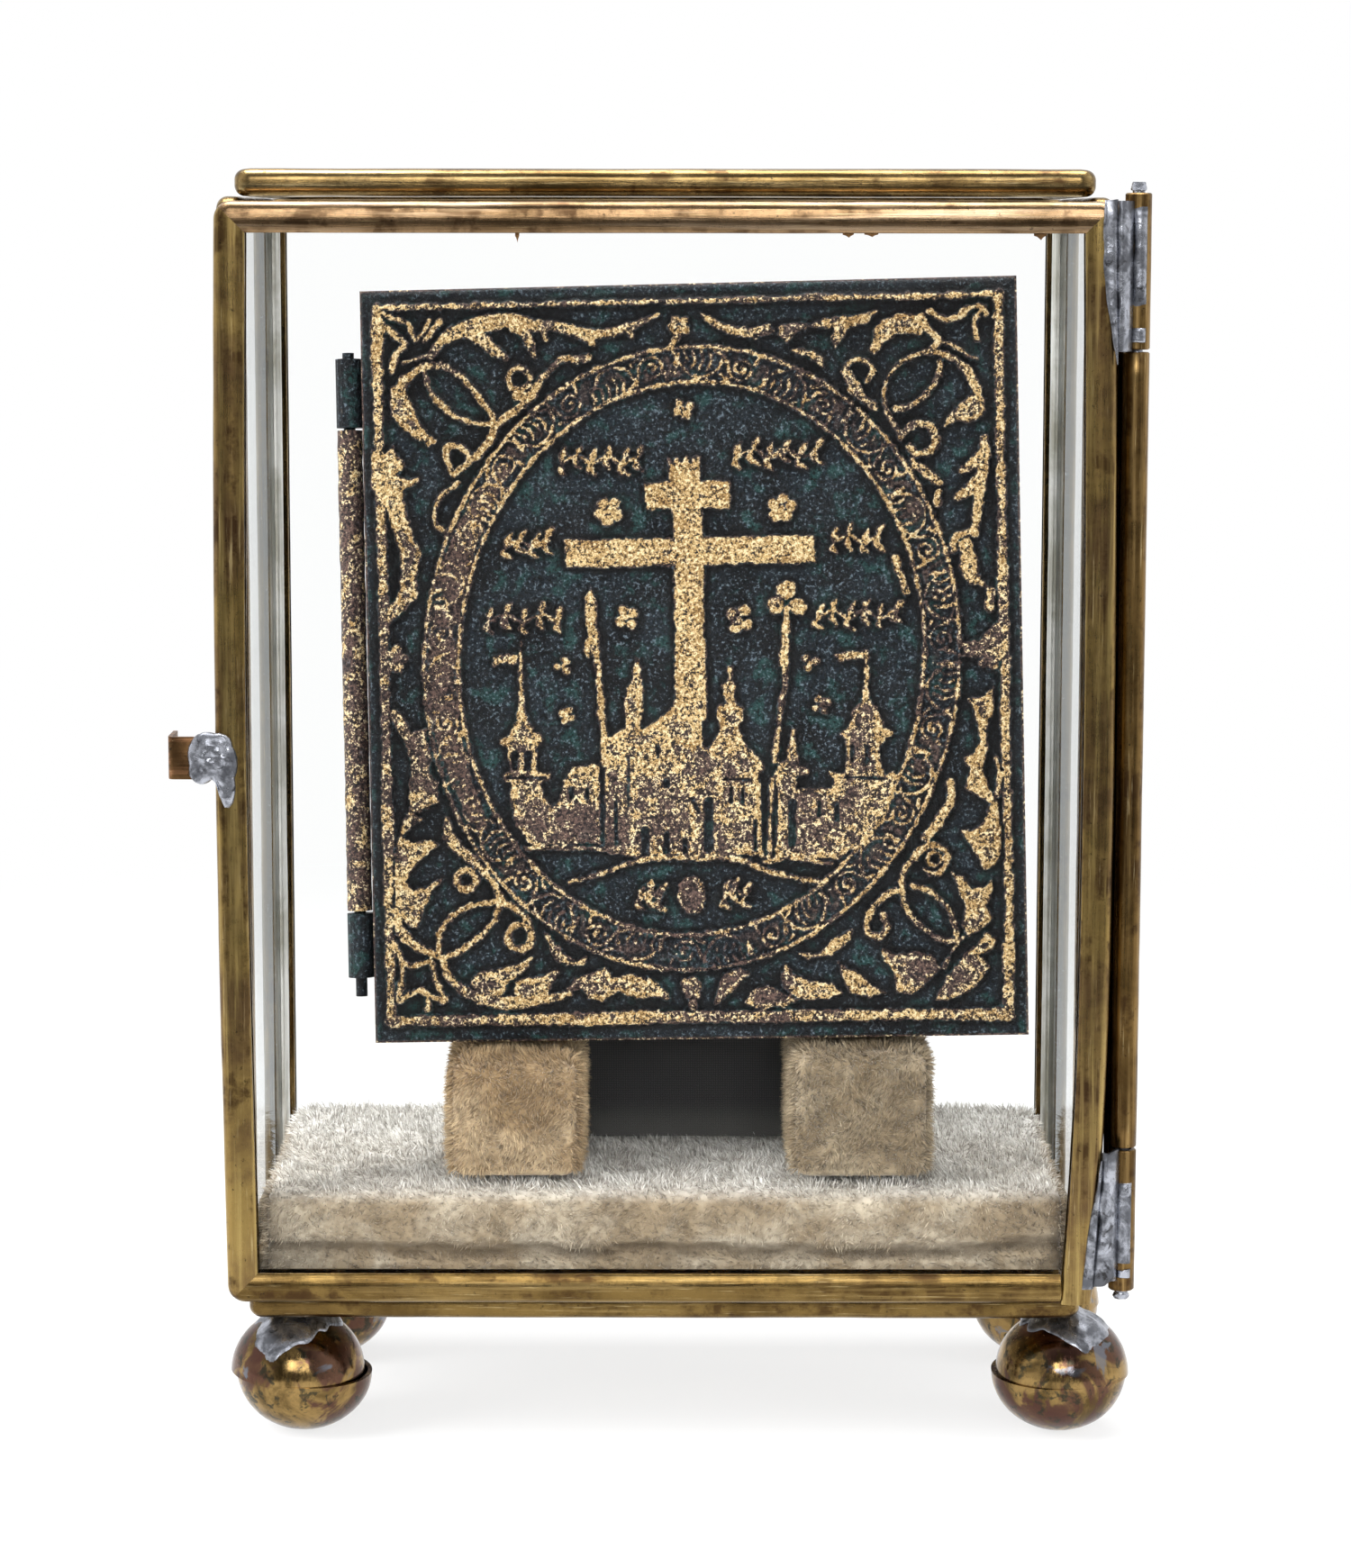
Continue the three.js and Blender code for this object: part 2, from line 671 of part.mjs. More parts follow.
// Small bosses: place and radius share
const bossShares = [
  [0.497, 0.834, 0.015], [0.375, 0.701, 0.016], [0.64, 0.703, 0.016], [0.49, 0.19, 0.025],
  [0.489, 0.948, 0.013], [0.046, 0.505, 0.014], [0.492, 0.064, 0.013], [0.301, 0.5, 0.012],
  [0.675, 0.5, 0.012], [0.306, 0.436, 0.011], [0.693, 0.439, 0.011], [0.242, 0.885, 0.016],
  [0.765, 0.88, 0.016], [0.24, 0.12, 0.016], [0.75, 0.12, 0.016],
];

// Acanthus sprays along the sides: each a curved blade from one place to another
const bladeShares = [
  [0.06, 0.9, 0.1, 0.72], [0.07, 0.6, 0.1, 0.74], [0.07, 0.4, 0.1, 0.26], [0.06, 0.12, 0.1, 0.28],
  [0.93, 0.9, 0.9, 0.72], [0.945, 0.6, 0.91, 0.74], [0.945, 0.4, 0.91, 0.26],
  [0.935, 0.12, 0.9, 0.28], [0.2, 0.935, 0.44, 0.925], [0.8, 0.935, 0.55, 0.925],
  [0.2, 0.07, 0.43, 0.075], [0.8, 0.07, 0.55, 0.075],
];
const bladeWidthShare = 0.1;
const bladeMidShare = 0.4;

const bandCentreShares = [0.498, 0.511];
const bandRadiusShares = [0.412, 0.418];

function ellipse(centre, radiusX, radiusY, segments, tilt = 0) {
  const shape = new THREE.Shape();
  for (let i = 0; i < segments; i++) {
    const angle = (i / segments) * Math.PI * 2;
    const x = radiusX * Math.cos(angle);
    const y = radiusY * Math.sin(angle);
    const place = [
      centre[0] + x * Math.cos(tilt) - y * Math.sin(tilt),
      centre[1] + x * Math.sin(tilt) + y * Math.cos(tilt),
    ];
    if (i) shape.lineTo(...place);
    else shape.moveTo(...place);
  }
  return shape;
}

function ring(centre, radiusX, radiusY, line, segments, tilt = 0) {
  const shape = ellipse(centre, radiusX, radiusY, segments, tilt);
  shape.holes.push(ellipse(centre, radiusX - line, radiusY - line, segments, tilt));
  return shape;
}

function blade([u0, v0, u1, v1]) {
  const a = new THREE.Vector2(...at([u0, v0]));
  const b = new THREE.Vector2(...at([u1, v1]));
  const along = b.clone().sub(a);
  const side = new THREE.Vector2(-along.y, along.x).multiplyScalar(bladeWidthShare);
  const mid = a.clone().lerp(b, bladeMidShare);
  const shape = new THREE.Shape();
  shape.moveTo(a.x, a.y);
  shape.quadraticCurveTo(mid.x + side.x, mid.y + side.y, b.x, b.y);
  shape.quadraticCurveTo(mid.x - side.x, mid.y - side.y, a.x, a.y);
  return shape;
}

function borderShape() {
  const width = iconWidth - 2 * borderInset;
  const height = iconHeight - 2 * borderInset;
  const frame = outline([
    [-width / 2, borderInset],
    [width / 2, borderInset],
    [width / 2, borderInset + height],
    [-width / 2, borderInset + height],
  ]);
  frame.holes.push(
    outline([
      [-width / 2 + borderLine, borderInset + borderLine],
      [-width / 2 + borderLine, borderInset + height - borderLine],
      [width / 2 - borderLine, borderInset + height - borderLine],
      [width / 2 - borderLine, borderInset + borderLine],
    ]),
  );
  return frame;
}

// The hillside under the wall: left end, crown and right end of its upper edge, then its foot
const hillShares = [[0.26, 0.252], [0.487, 0.275], [0.74, 0.25], [0.67, 0.21], [0.3, 0.21]];

function hillShape() {
  const [left, crown, right, footRight, footLeft] = hillShares.map(at);
  const shape = new THREE.Shape();
  shape.moveTo(...left);
  shape.quadraticCurveTo(...crown, ...right);
  shape.lineTo(...footRight);
  shape.quadraticCurveTo(crown[0], crown[1] - hillLine, ...footLeft);
  return shape;
}

// A shape on the leaf's face as a solid that stands out by a height
function raised(shape, height, ground) {
  const solid = extrude(shape, height + reliefSink).rotateX(Math.PI / 2);
  return toSolid(solid.translate(0, ground + reliefSink, 0));
}

function reliefSolids(ground) {
  const centre = at(bandCentreShares);
  const rx = bandRadiusShares[0] * iconWidth;
  const ry = bandRadiusShares[1] * iconHeight;
  const inner = bandWidth - bandLine;
  const forms = [
    raised(borderShape(), reliefHeight, ground),
    raised(ring(centre, rx, ry, bandWidth, ellipseSegments), bandRelief, ground),
    raised(ring(centre, rx, ry, bandLine, ellipseSegments), reliefHeight, ground),
    raised(ring(centre, rx - inner, ry - inner, bandLine, ellipseSegments), reliefHeight, ground),
    raised(outline(crossShares.map(at)), reliefHeight, ground),
    raised(outline(cityShares.map(at)), bandRelief, ground),
    raised(hillShape(), bandRelief, ground),
    raised(outline(spearShares.map(at)), reliefHeight, ground),
    raised(outline(reedShares.map(at)), reliefHeight, ground),
  ];
  for (const [u, v, tilt] of cornerRingShares) {
    const length = ringLengthShare * iconWidth;
    const width = ringWidthShare * iconWidth;
    const turn = THREE.MathUtils.degToRad(tilt);
    const loop = ring(at([u, v]), length, width, ringLine, ringSegments, turn);
    forms.push(raised(loop, reliefHeight, ground));
  }
  for (const [u, v, share] of bossShares) {
    const radius = share * iconWidth;
    const boss = ellipse(at([u, v]), radius, radius, bossSegments);
    forms.push(raised(boss, reliefHeight, ground));
  }
  for (const place of bladeShares) forms.push(raised(blade(place), reliefHeight, ground));
  return forms;
}

// The icon hinge lies left of both leaves, in the plane between them
const iconAxisX = -iconWidth / 2 - iconKnuckleRadius - leafGap / 2 - softClearance / 2;
const knuckleLevels = {
  upper: [
    iconHeight - upperKnuckleFromTop - iconUpperKnuckleLength,
    iconHeight - upperKnuckleFromTop,
  ],
  lower: [lowerKnuckleFromFoot, lowerKnuckleFromFoot + iconLowerKnuckleLength],
};
knuckleLevels.middle = [
  knuckleLevels.lower[1] + iconKnuckleClearance,
  knuckleLevels.upper[0] - iconKnuckleClearance,
];

// A knuckle and the lug that joins it to its leaf. side is -1 for the front leaf.
function knuckle([from, to], side) {
  const profile = [
    [0, from],
    [iconKnuckleRadius, from],
    [iconKnuckleRadius, to],
    [0, to],
  ];
  const cylinder = turned(profile, knuckleSegments);
  const reach = -iconWidth / 2 + iconCornerRadius - iconAxisX;
  const lug = new THREE.BoxGeometry(reach, iconLugThickness, to - from);
  const lugY = side * (leafGap / 2 + iconLugThickness / 2);
  lug.translate(reach / 2, lugY, (from + to) / 2);
  return toSolid(cylinder).add(toSolid(lug)).translate([iconAxisX, 0, 0]);
}

function iconBore() {
  const overrun = iconHeight / 2;
  const profile = [
    [0, -overrun],
    [iconPinBore, -overrun],
    [iconPinBore, iconHeight + overrun],
    [0, iconHeight + overrun],
  ];
  return toSolid(turned(profile, pinSegments).translate(iconAxisX, 0, 0));
}

// A plain leaf: an outer plate with a shallow bordered field on its inner face
function leafPlate(side) {
  const plate = extrude(roundedRectangle(iconWidth, iconHeight, iconCornerRadius), leafThickness);
  plate.rotateX(Math.PI / 2).translate(0, leafThickness / 2, iconHeight / 2);
  const middle = side * (leafGap + leafThickness) / 2;
  const field = new THREE.BoxGeometry(
    iconWidth - 2 * insideBorder,
    2 * insideRecess,
    iconHeight - 2 * insideBorder,
  );
  field.translate(0, side * leafGap / 2, iconHeight / 2);
  return toSolid(plate.translate(0, middle, 0)).subtract(toSolid(field));
}

function buildIcon(parent) {
  const icon = new THREE.Group();
  icon.rotation.order = "ZXY";
  icon.rotation.set(-iconLean, -iconRoll, iconYaw);
  const seat = wallFloor + velvetBaseHeight + softClearance + leftBlockHeight;
  icon.position.set(iconOffset, bodyFront + iconSetback + leafThickness, seat + iconLift);

  const ground = -leafGap / 2 - leafThickness;
  const front = joinAll([leafPlate(-1), knuckle(knuckleLevels.middle, -1), ...reliefSolids(ground)]);
  addPiece(icon, "icon_front_leaf", toGeometry(front.subtract(iconBore())), bronze);
  const rear = joinAll([leafPlate(1), knuckle(knuckleLevels.upper, 1), knuckle(knuckleLevels.lower, 1)]);
  addPiece(icon, "icon_rear_leaf", toGeometry(rear.subtract(iconBore())), bronze);

  const pinFrom = knuckleLevels.lower[0] - iconPinFootEnd;
  const pinTo = knuckleLevels.upper[1] + iconPinTopEnd;
  const pinProfile = [
    [0, pinFrom],
    [iconPinRadius, pinFrom],
    [iconPinRadius, pinTo],
    [0, pinTo],
  ];
  const pin = turned(pinProfile, pinSegments).translate(iconAxisX, 0, 0);
  addPiece(icon, "icon_pin", pin, darkBrass);
  parent.add(icon);
  return icon;
}

const assembly = new THREE.Group();
buildBody(assembly);
buildDoor(assembly);
buildHinge(assembly);
buildCatch(assembly);
buildFeet(assembly);
buildStand(assembly);
buildIcon(assembly);

// The origin is the middle of the whole object's footprint, on the surface it stands on
const rightmost = hingeX + hingeRadius;
const foremost = Math.min(catchSolderFront, -solderThickness);
assembly.position.set(-(catchOut + rightmost) / 2, -(foremost + bodyBack) / 2, 0);
root.add(assembly);

export default root;
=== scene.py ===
import json
import math

import bpy
import numpy as np
from mathutils import Matrix, Vector


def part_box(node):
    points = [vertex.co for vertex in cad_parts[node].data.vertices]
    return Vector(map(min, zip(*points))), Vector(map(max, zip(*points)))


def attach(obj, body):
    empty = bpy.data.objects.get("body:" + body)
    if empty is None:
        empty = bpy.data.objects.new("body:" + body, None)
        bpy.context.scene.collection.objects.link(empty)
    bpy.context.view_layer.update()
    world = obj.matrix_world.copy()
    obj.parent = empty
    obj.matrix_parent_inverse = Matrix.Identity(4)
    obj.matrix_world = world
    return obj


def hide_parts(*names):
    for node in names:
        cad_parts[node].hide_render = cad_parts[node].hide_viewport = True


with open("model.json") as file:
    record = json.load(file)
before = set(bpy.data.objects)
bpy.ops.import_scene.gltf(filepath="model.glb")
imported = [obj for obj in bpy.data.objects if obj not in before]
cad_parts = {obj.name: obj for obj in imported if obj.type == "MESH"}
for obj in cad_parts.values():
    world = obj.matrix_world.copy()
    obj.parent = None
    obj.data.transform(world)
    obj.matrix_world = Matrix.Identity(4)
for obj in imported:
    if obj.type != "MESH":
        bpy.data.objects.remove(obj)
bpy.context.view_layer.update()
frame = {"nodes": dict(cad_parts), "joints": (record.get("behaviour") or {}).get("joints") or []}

MM = 0.001
SCENE = bpy.context.scene

# The photograph's camera
PHOTO_WIDTH, PHOTO_HEIGHT = 1500, 1741
FOCAL_PIXELS = 4350
SENSOR = 36
CAMERA_PLACE = (0.00262, -0.5738, 0.1750)
CAMERA_PITCH = math.radians(7.5)
CAMERA_ROLL = math.radians(0.07)
HORIZON_SHIFT = -0.0289

# The channel that edges the panes
CAME_WIDTH = 4.4 * MM
CAME_WALL = 0.45 * MM
CAME_BACK_RADIUS = 1.5 * MM
CAME_LIP_HALF = 1.55 * MM
CAME_BULGE = 0.24 * MM
LIP_ROUND = 0.25 * MM
CORNER_ROUND = 2.5 * MM
CORNER_TIP = 0.73 * MM
STILE_BOW = 0.8 * MM
LEFT_STILE_BOW = 0.75 * MM
STILE_FOOT_BEND = 1.3 * MM
STILE_FOOT_SHARE = 0.3
CATCH_REACH = 8.6 * MM

# The icon's leaf, in millimetres on its own face
LEAF_WIDTH = 95
LEAF_HEIGHT = 109.4
LEAF_THICKNESS = 3.2
RELIEF_HEIGHT = 0.8
RELIEF_STEP = 0.24
INSIDE_BORDER = 7
INSIDE_RECESS = 0.8
INSIDE_SLOPE = 0.5
BACK_EDGE = 0.3
BACK_TAPER = (0.994, 0.995)
BORDER_LINE = (2.5 - LEAF_WIDTH / 2, LEAF_WIDTH / 2 - 2.6, 3.2, LEAF_HEIGHT - 2.55)

# Velvet, feet and tubes
PILE_ROOM = 0.7 * MM
PAD_STEP = 1.1 * MM
OUT_OF_ROUND = 0.012
UPPER_DOME_LIP = 0.2 * MM


# Meshes

def new_object(name, verts, faces, smooth=True, sharp_degrees=None):
    mesh = bpy.data.meshes.new(name)
    mesh.from_pydata([tuple(v) for v in verts], [], [tuple(f) for f in faces])
    mesh.update()
    mesh.shade_smooth() if smooth else mesh.shade_flat()
    if sharp_degrees:
        mesh.set_sharp_from_angle(angle=math.radians(sharp_degrees))
    obj = bpy.data.objects.new(name, mesh)
    SCENE.collection.objects.link(obj)
    return obj


def grid_faces(rows, columns, close_rows=False, close_columns=False, start=0):
    """Quads over a grid of rows by columns of points, wrapped round where asked."""
    last_row = rows if close_rows else rows - 1
    last_column = columns if close_columns else columns - 1
    i, j = np.meshgrid(np.arange(last_row), np.arange(last_column), indexing="ij")
    i, j = i.ravel(), j.ravel()
    i1, j1 = (i + 1) % rows, (j + 1) % columns
    corners = [i * columns + j, i * columns + j1, i1 * columns + j1, i1 * columns + j]
    return (np.stack(corners, 1) + start).tolist()


def unit(vectors):
    return vectors / np.maximum(np.linalg.norm(vectors, axis=1, keepdims=True), 1e-9)


def circle(count):
    """The cosine and sine of each of so many even angles."""
    angles = [2 * math.pi * k / count for k in range(count)]
    return [(math.cos(angle), math.sin(angle)) for angle in angles]


def places_of(obj):
    return np.array([tuple(v.co) for v in obj.data.vertices])


def round_box(node):
    """An upright round node's corners, the middle of it and its radius."""
    lo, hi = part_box(node)
    return lo, hi, (lo.x + hi.x) / 2, (lo.y + hi.y) / 2, (hi.x - lo.x) / 2


def capped_tube(rings, columns):
    """Quads round rings of points, with one face across the first ring and one across the last."""
    caps = [list(range(columns))[::-1], [(rings - 1) * columns + k for k in range(columns)]]
    return grid_faces(rings, columns, close_columns=True) + caps


def folded_grid(rows, columns):
    """A tube of folded sheet: each ring of points goes out along one skin and back along the
    other, and the tube's two ends are closed between the skins."""
    faces = grid_faces(rows, columns, close_columns=True)
    for base, flip in ((0, False), ((rows - 1) * columns, True)):
        for k in range(columns // 2 - 1):
            face = [base + k, base + k + 1, base + columns - 2 - k, base + columns - 1 - k]
            faces.append(face[::-1] if flip else face)
    return faces


def thick_grid(rows, columns, closed=False):
    """Two grids of points, the second behind the first, joined along their edges into one skin."""
    count, last = rows * columns, (rows - 1) * columns
    faces = grid_faces(rows, columns, close_columns=closed)
    faces += [f[::-1] for f in grid_faces(rows, columns, close_columns=closed, start=count)]
    edges = []
    for a in range(0, 0 if closed else last, columns):
        edges += [(a, a + columns), (a + 2 * columns - 1, a + columns - 1)]
    for k in range(columns if closed else columns - 1):
        k1 = (k + 1) % columns
        edges += [(k1, k), (last + k, last + k1)]
    return faces + [[a, b, count + b, count + a] for a, b in edges]


def store(obj, name, values):
    """Keeps one number for each vertex, for the material to read."""
    attribute = obj.data.attributes.new(name, "FLOAT", "POINT")
    attribute.data.foreach_set("value", np.asarray(values, np.float32).ravel())


def value_noise(points, cell, seed):
    """Smooth noise from -1 to 1 at each point of an array of places, with features of one cell."""
    p = np.atleast_2d(np.asarray(points, float)) / cell
    base = np.floor(p).astype(np.int64)
    t = p - base
    t = t * t * (3 - 2 * t)
    total = np.zeros(len(p))
    for corner in range(2 ** p.shape[1]):
        offset = np.array([(corner >> axis) & 1 for axis in range(p.shape[1])])
        key = np.full(len(p), seed * 7919 + 17, np.int64)
        for axis in range(p.shape[1]):
            key = (key * 73856093 + (base[:, axis] + offset[axis]) * 19349663) % 2147483647
            key = (key ^ (key >> 13)) * 83492791 % 2147483647
        weight = np.prod(np.where(offset, t, 1 - t), axis=1)
        total += weight * (key / 2147483647 * 2 - 1)
    return total


def noise_at(spot, cell, seed):
    """The noise at one place. cell is in millimetres."""
    return float(value_noise([spot], cell * MM, seed)[0])


def smoothstep(low, high, x):
    t = np.clip((x - low) / (high - low), 0, 1)
    return t * t * (3 - 2 * t)


# Materials

class Nodes:
    """Short calls for the nodes of a material or a world."""

    def __init__(self, owner):
        self.owner = owner
        owner.use_nodes = True
        self.tree = owner.node_tree
        self.tree.nodes.clear()

    def add(self, kind, inputs=None, **settings):
        node = self.tree.nodes.new("ShaderNode" + kind)
        for key, value in settings.items():
            setattr(node, key, value)
        for key, value in (inputs or {}).items():
            if isinstance(value, bpy.types.NodeSocket):
                self.tree.links.new(value, node.inputs[key])
            else:
                node.inputs[key].default_value = value
        return node

    def place(self, scale=(1, 1, 1)):
        coordinates = self.add("TexCoord").outputs["Object"]
        return self.add("Mapping", {"Vector": coordinates, "Scale": scale}).outputs["Vector"]

    def axis(self, where, name):
        return self.add("SeparateXYZ", {"Vector": where}).outputs[name]

    def stored(self, name):
        return self.add("Attribute", attribute_name=name).outputs["Fac"]

    def noise(self, where, scale, detail=4, roughness=0.55, distortion=0):
        inputs = {"Vector": where, "Scale": scale, "Detail": detail, "Roughness": roughness,
                  "Distortion": distortion}
        return self.add("TexNoise", inputs).outputs["Fac"]

    def between(self, x, low, high, out_low=0, out_high=1):
        inputs = {"Value": x, "From Min": low, "From Max": high, "To Min": out_low, "To Max": out_high}
        return self.add("MapRange", inputs, clamp=True, interpolation_type="SMOOTHSTEP").outputs["Result"]

    def math(self, operation, a, b=0.0, clamp=False):
        return self.add("Math", {0: a, 1: b}, operation=operation, use_clamp=clamp).outputs[0]

    def times(self, a, b):
        return self.math("MULTIPLY", a, b)

    def weigh(self, a, share_a, b, share_b):
        return self.math("ADD", self.times(a, share_a), self.times(b, share_b))

    def mix(self, share, a, b, kind="RGBA"):
        inputs = {"Factor": share, "A": a, "B": b}
        return self.add("Mix", inputs, data_type=kind, clamp_factor=True).outputs["Result"]

    def tint(self, colour, share, rgb, most=None):
        """The colour with a screen colour mixed in, by a share that is times most where that is given."""
        return self.mix(share if most is None else self.times(share, most), colour, srgb(*rgb))

    def bump(self, height, distance, strength=1.0):
        inputs = {"Height": height, "Distance": distance, "Strength": strength}
        return self.add("Bump", inputs).outputs["Normal"]

    def blend(self, share, a, b):
        return self.add("MixShader", {0: share, 1: a.outputs[0], 2: b.outputs[0]})

    def finish(self, shader, output="OutputMaterial"):
        self.add(output, {"Surface": shader.outputs[0]})
        return self.owner

    def surface(self, colour, roughness, **sockets):
        """Ends the material. Each further value goes to the socket of its name."""
        inputs = {"Base Color": colour, "Roughness": roughness}
        inputs.update({name.replace("_", " "): value for name, value in sockets.items()})
        return self.finish(self.add("BsdfPrincipled", inputs))


def material(name):
    return Nodes(bpy.data.materials.new(name))


def srgb(r, g, b):
    """A colour given as it looks on the screen, 0 to 255, for a shader's socket."""
    values = [c / 255 for c in (r, g, b)]
    linear = [c / 12.92 if c <= 0.04045 else ((c + 0.055) / 1.055) ** 2.4 for c in values]
    return (*linear, 1)


STREAK = 0.03
LENGTHWISE = {"X": (STREAK, 1, 1), "Y": (1, STREAK, 1), "Z": (1, 1, STREAK)}
TARNISH, SCRATCH, SPOT, DUST = (66, 46, 30), (250, 226, 170), (44, 36, 28), (214, 214, 214)
# The tinned posts: the middle between the two, and how far from it their tin fades
POST_MIDDLE = 1.1 * MM
TIN_FADE = (60.2 * MM, 61.0 * MM)


def brass_material(name, axis, colours, rough=(0.13, 0.34), dust=0.0, tin=None):
    """Old brass, rubbed and scratched along one axis, with brown tarnish and dull spots. The
    colours, and those of a grey coat of tin on the posts' inner sides, go from bright to dark."""
    n = material(name)
    along, plain = n.place(LENGTHWISE[axis]), n.place()
    scratches = n.noise(along, 3000, 4, 0.7)
    streaks = n.noise(along, 900, 4, 0.6)
    clouds = n.noise(plain, 70, 6, 0.62, 0.3)
    patches = n.noise(plain, 190, 5, 0.65)
    spots = n.noise(plain, 1300, 3, 0.6)

    def coat(bright, mid, dark):
        return n.tint(n.mix(n.between(clouds, 0.36, 0.62), srgb(*dark), srgb(*mid)),
                      n.between(streaks, 0.46, 0.7), bright, 0.65)

    tarnish = n.times(n.between(patches, 0.5, 0.64), n.between(streaks, 0.62, 0.42))
    colour = n.tint(coat(*colours), tarnish, TARNISH, 0.8)
    colour = n.tint(colour, n.between(scratches, 0.6, 0.72), SCRATCH, 0.45)
    colour = n.tint(colour, n.between(spots, 0.66, 0.74), SPOT, 0.75)
    if dust:
        colour = n.tint(colour, n.between(n.noise(plain, 2300, 2, 0.5), 0.66, 0.72), DUST, dust)
    metallic = 1.0
    if tin:
        off_middle = n.math("ABSOLUTE", n.math("SUBTRACT", n.axis(plain, "X"), POST_MIDDLE))
        share = n.between(off_middle, *TIN_FADE, 1, 0)
        colour = n.mix(share, colour, coat(*tin))
        metallic = n.between(share, 0, 1, 1, 0.5)
    roughness = n.between(n.weigh(scratches, 0.5, patches, 0.5), 0.36, 0.64, *rough)
    bump = n.bump(n.weigh(scratches, 1, patches, 1.2), 0.05 * MM, 0.55)
    return n.surface(colour, roughness, Normal=bump, Metallic=metallic)


def solder_material(name):
    """Soft solder: a dull grey skin, bright where it flowed, with brown flux in the pits."""
    n = material(name)
    plain = n.place()
    clouds = n.noise(plain, 330, 5, 0.65, 0.4)
    flux = n.noise(plain, 520, 5, 0.65, 0.5)
    colour = n.mix(n.between(clouds, 0.38, 0.62), srgb(100, 102, 108), srgb(178, 181, 190))
    colour = n.tint(colour, n.between(flux, 0.56, 0.68), (48, 46, 46), 0.85)
    bump = n.bump(n.weigh(n.noise(plain, 1500, 4, 0.65), 1, clouds, 2.2), 0.09 * MM, 0.45)
    return n.surface(colour, n.between(clouds, 0.35, 0.7, 0.44, 0.16), Normal=bump, Metallic=0.95)


def glass_material(name):
    """Thin old window glass: clear, faintly green at its edges, mirroring by the angle."""
    n = material(name)
    clear = n.add("BsdfTransparent", {"Color": (0.998, 1, 0.999, 1)})
    smear = n.noise(n.place((1, 1, 0.25)), 120, 4, 0.6)
    roughness = n.between(smear, 0.35, 0.7, 0.01, 0.06)
    mirror = n.add("BsdfGlossy", {"Color": (0.9, 0.93, 0.93, 1), "Roughness": roughness})
    film = n.times(n.between(n.noise(n.place(), 2100, 2, 0.5), 0.74, 0.8), 0.1)
    facing = n.add("LayerWeight").outputs["Facing"]
    mirrored = n.math("ADD", n.times(n.math("POWER", facing, 5.0), 0.55), 0.004)
    return n.finish(n.blend(n.math("ADD", mirrored, film, clamp=True), clear, mirror))


def foot_material(name):
    """Pressed brass with heat-browned patches, verdigris spots and grey solder smears."""
    n = material(name)
    plain = n.place()
    verdigris = n.noise(plain, 420, 5, 0.65, 0.4)
    rub = n.noise(n.place((1, 1, 0.25)), 1500, 4, 0.65)
    clouds = n.noise(plain, 150, 5, 0.62, 0.8)
    colour = n.mix(n.between(clouds, 0.38, 0.62), srgb(92, 74, 44), srgb(158, 130, 82))
    colour = n.tint(colour, n.between(n.noise(plain, 105, 4, 0.6, 1.0), 0.46, 0.55), (86, 58, 54), 0.85)
    colour = n.tint(colour, n.between(verdigris, 0.53, 0.62), (56, 56, 46), 0.85)
    colour = n.tint(colour, n.between(n.noise(plain, 150, 4, 0.55, 0.5), 0.63, 0.67), (120, 126, 136), 0.7)
    roughness = n.between(n.weigh(rub, 1, verdigris, 0.6), 0.55, 1.05, 0.07, 0.3)
    bump = n.bump(n.weigh(rub, 1, verdigris, 2), 0.03 * MM, 0.4)
    return n.surface(colour, roughness, Normal=bump, Metallic=1)


def bronze_material(name, gilded):
    """Dark cast bronze with teal patina; gilded surfaces read how much gold each point keeps. The fine grain
    of the ground and of the gold carries painted glints and painted shade in its pits.
    """
    n = material(name)
    plain = n.place()
    grain = n.noise(plain, 2100, 3, 0.7)
    clouds = n.noise(plain, 110, 4, 0.6, 0.5)
    colour = n.mix(n.between(clouds, 0.36, 0.64), srgb(7, 9, 14), srgb(19, 27, 34))
    colour = n.tint(colour, n.between(n.noise(plain, 340, 4, 0.6, 0.3), 0.51, 0.63), (24, 58, 56), 0.85)
    # Painted glints and painted shade: the stipple's pale specks stand in for light on its bumps, and its
    # near-black lows for shade in its pits.
    colour = n.tint(colour, n.between(grain, 0.55, 0.67), (98, 112, 122), 0.8)
    colour = n.tint(colour, n.between(grain, 0.48, 0.38), (3, 4, 6))
    speckle = n.weigh(grain, 0.7, n.noise(plain, 4800, 2, 0.6), 0.3)
    if gilded:
        gilt = n.stored("gilt")
        colour = n.tint(colour, n.stored("shade"), (7, 6, 7), 0.9)
        brown = n.mix(n.between(speckle, 0.43, 0.57), srgb(20, 16, 19), srgb(98, 76, 68))
        colour = n.mix(n.between(gilt, 0.2, 0.5), colour, brown)
        mottle = n.weigh(speckle, 2.5, n.noise(plain, 620, 3, 0.6), 1.3)
        gold_share = n.between(n.math("ADD", gilt, n.math("SUBTRACT", mottle, 1.92)), 0.7, 0.86)
    else:
        rub = n.noise(plain, 700, 4, 0.6)
        gold_share = n.times(n.between(rub, 0.66, 0.78), n.between(clouds, 0.5, 0.62))
    gold = n.mix(n.between(n.noise(plain, 210, 3, 0.6), 0.35, 0.65), srgb(186, 149, 94), srgb(224, 190, 132))
    # Painted highlight on the gold's grains, and painted shade in the pits between them.
    gold = n.tint(gold, n.between(speckle, 0.52, 0.59), (255, 240, 198))
    gold = n.tint(gold, n.between(speckle, 0.5, 0.42), (98, 72, 49))
    return n.surface(n.mix(gold_share, colour, gold), n.between(gold_share, 0, 1, 0.4, 0.3),
                     Metallic=n.between(gold_share, 0, 1, 0.0, 0.6), Normal=n.bump(speckle, 0.6 * MM),
                     Specular_IOR_Level=0.35)


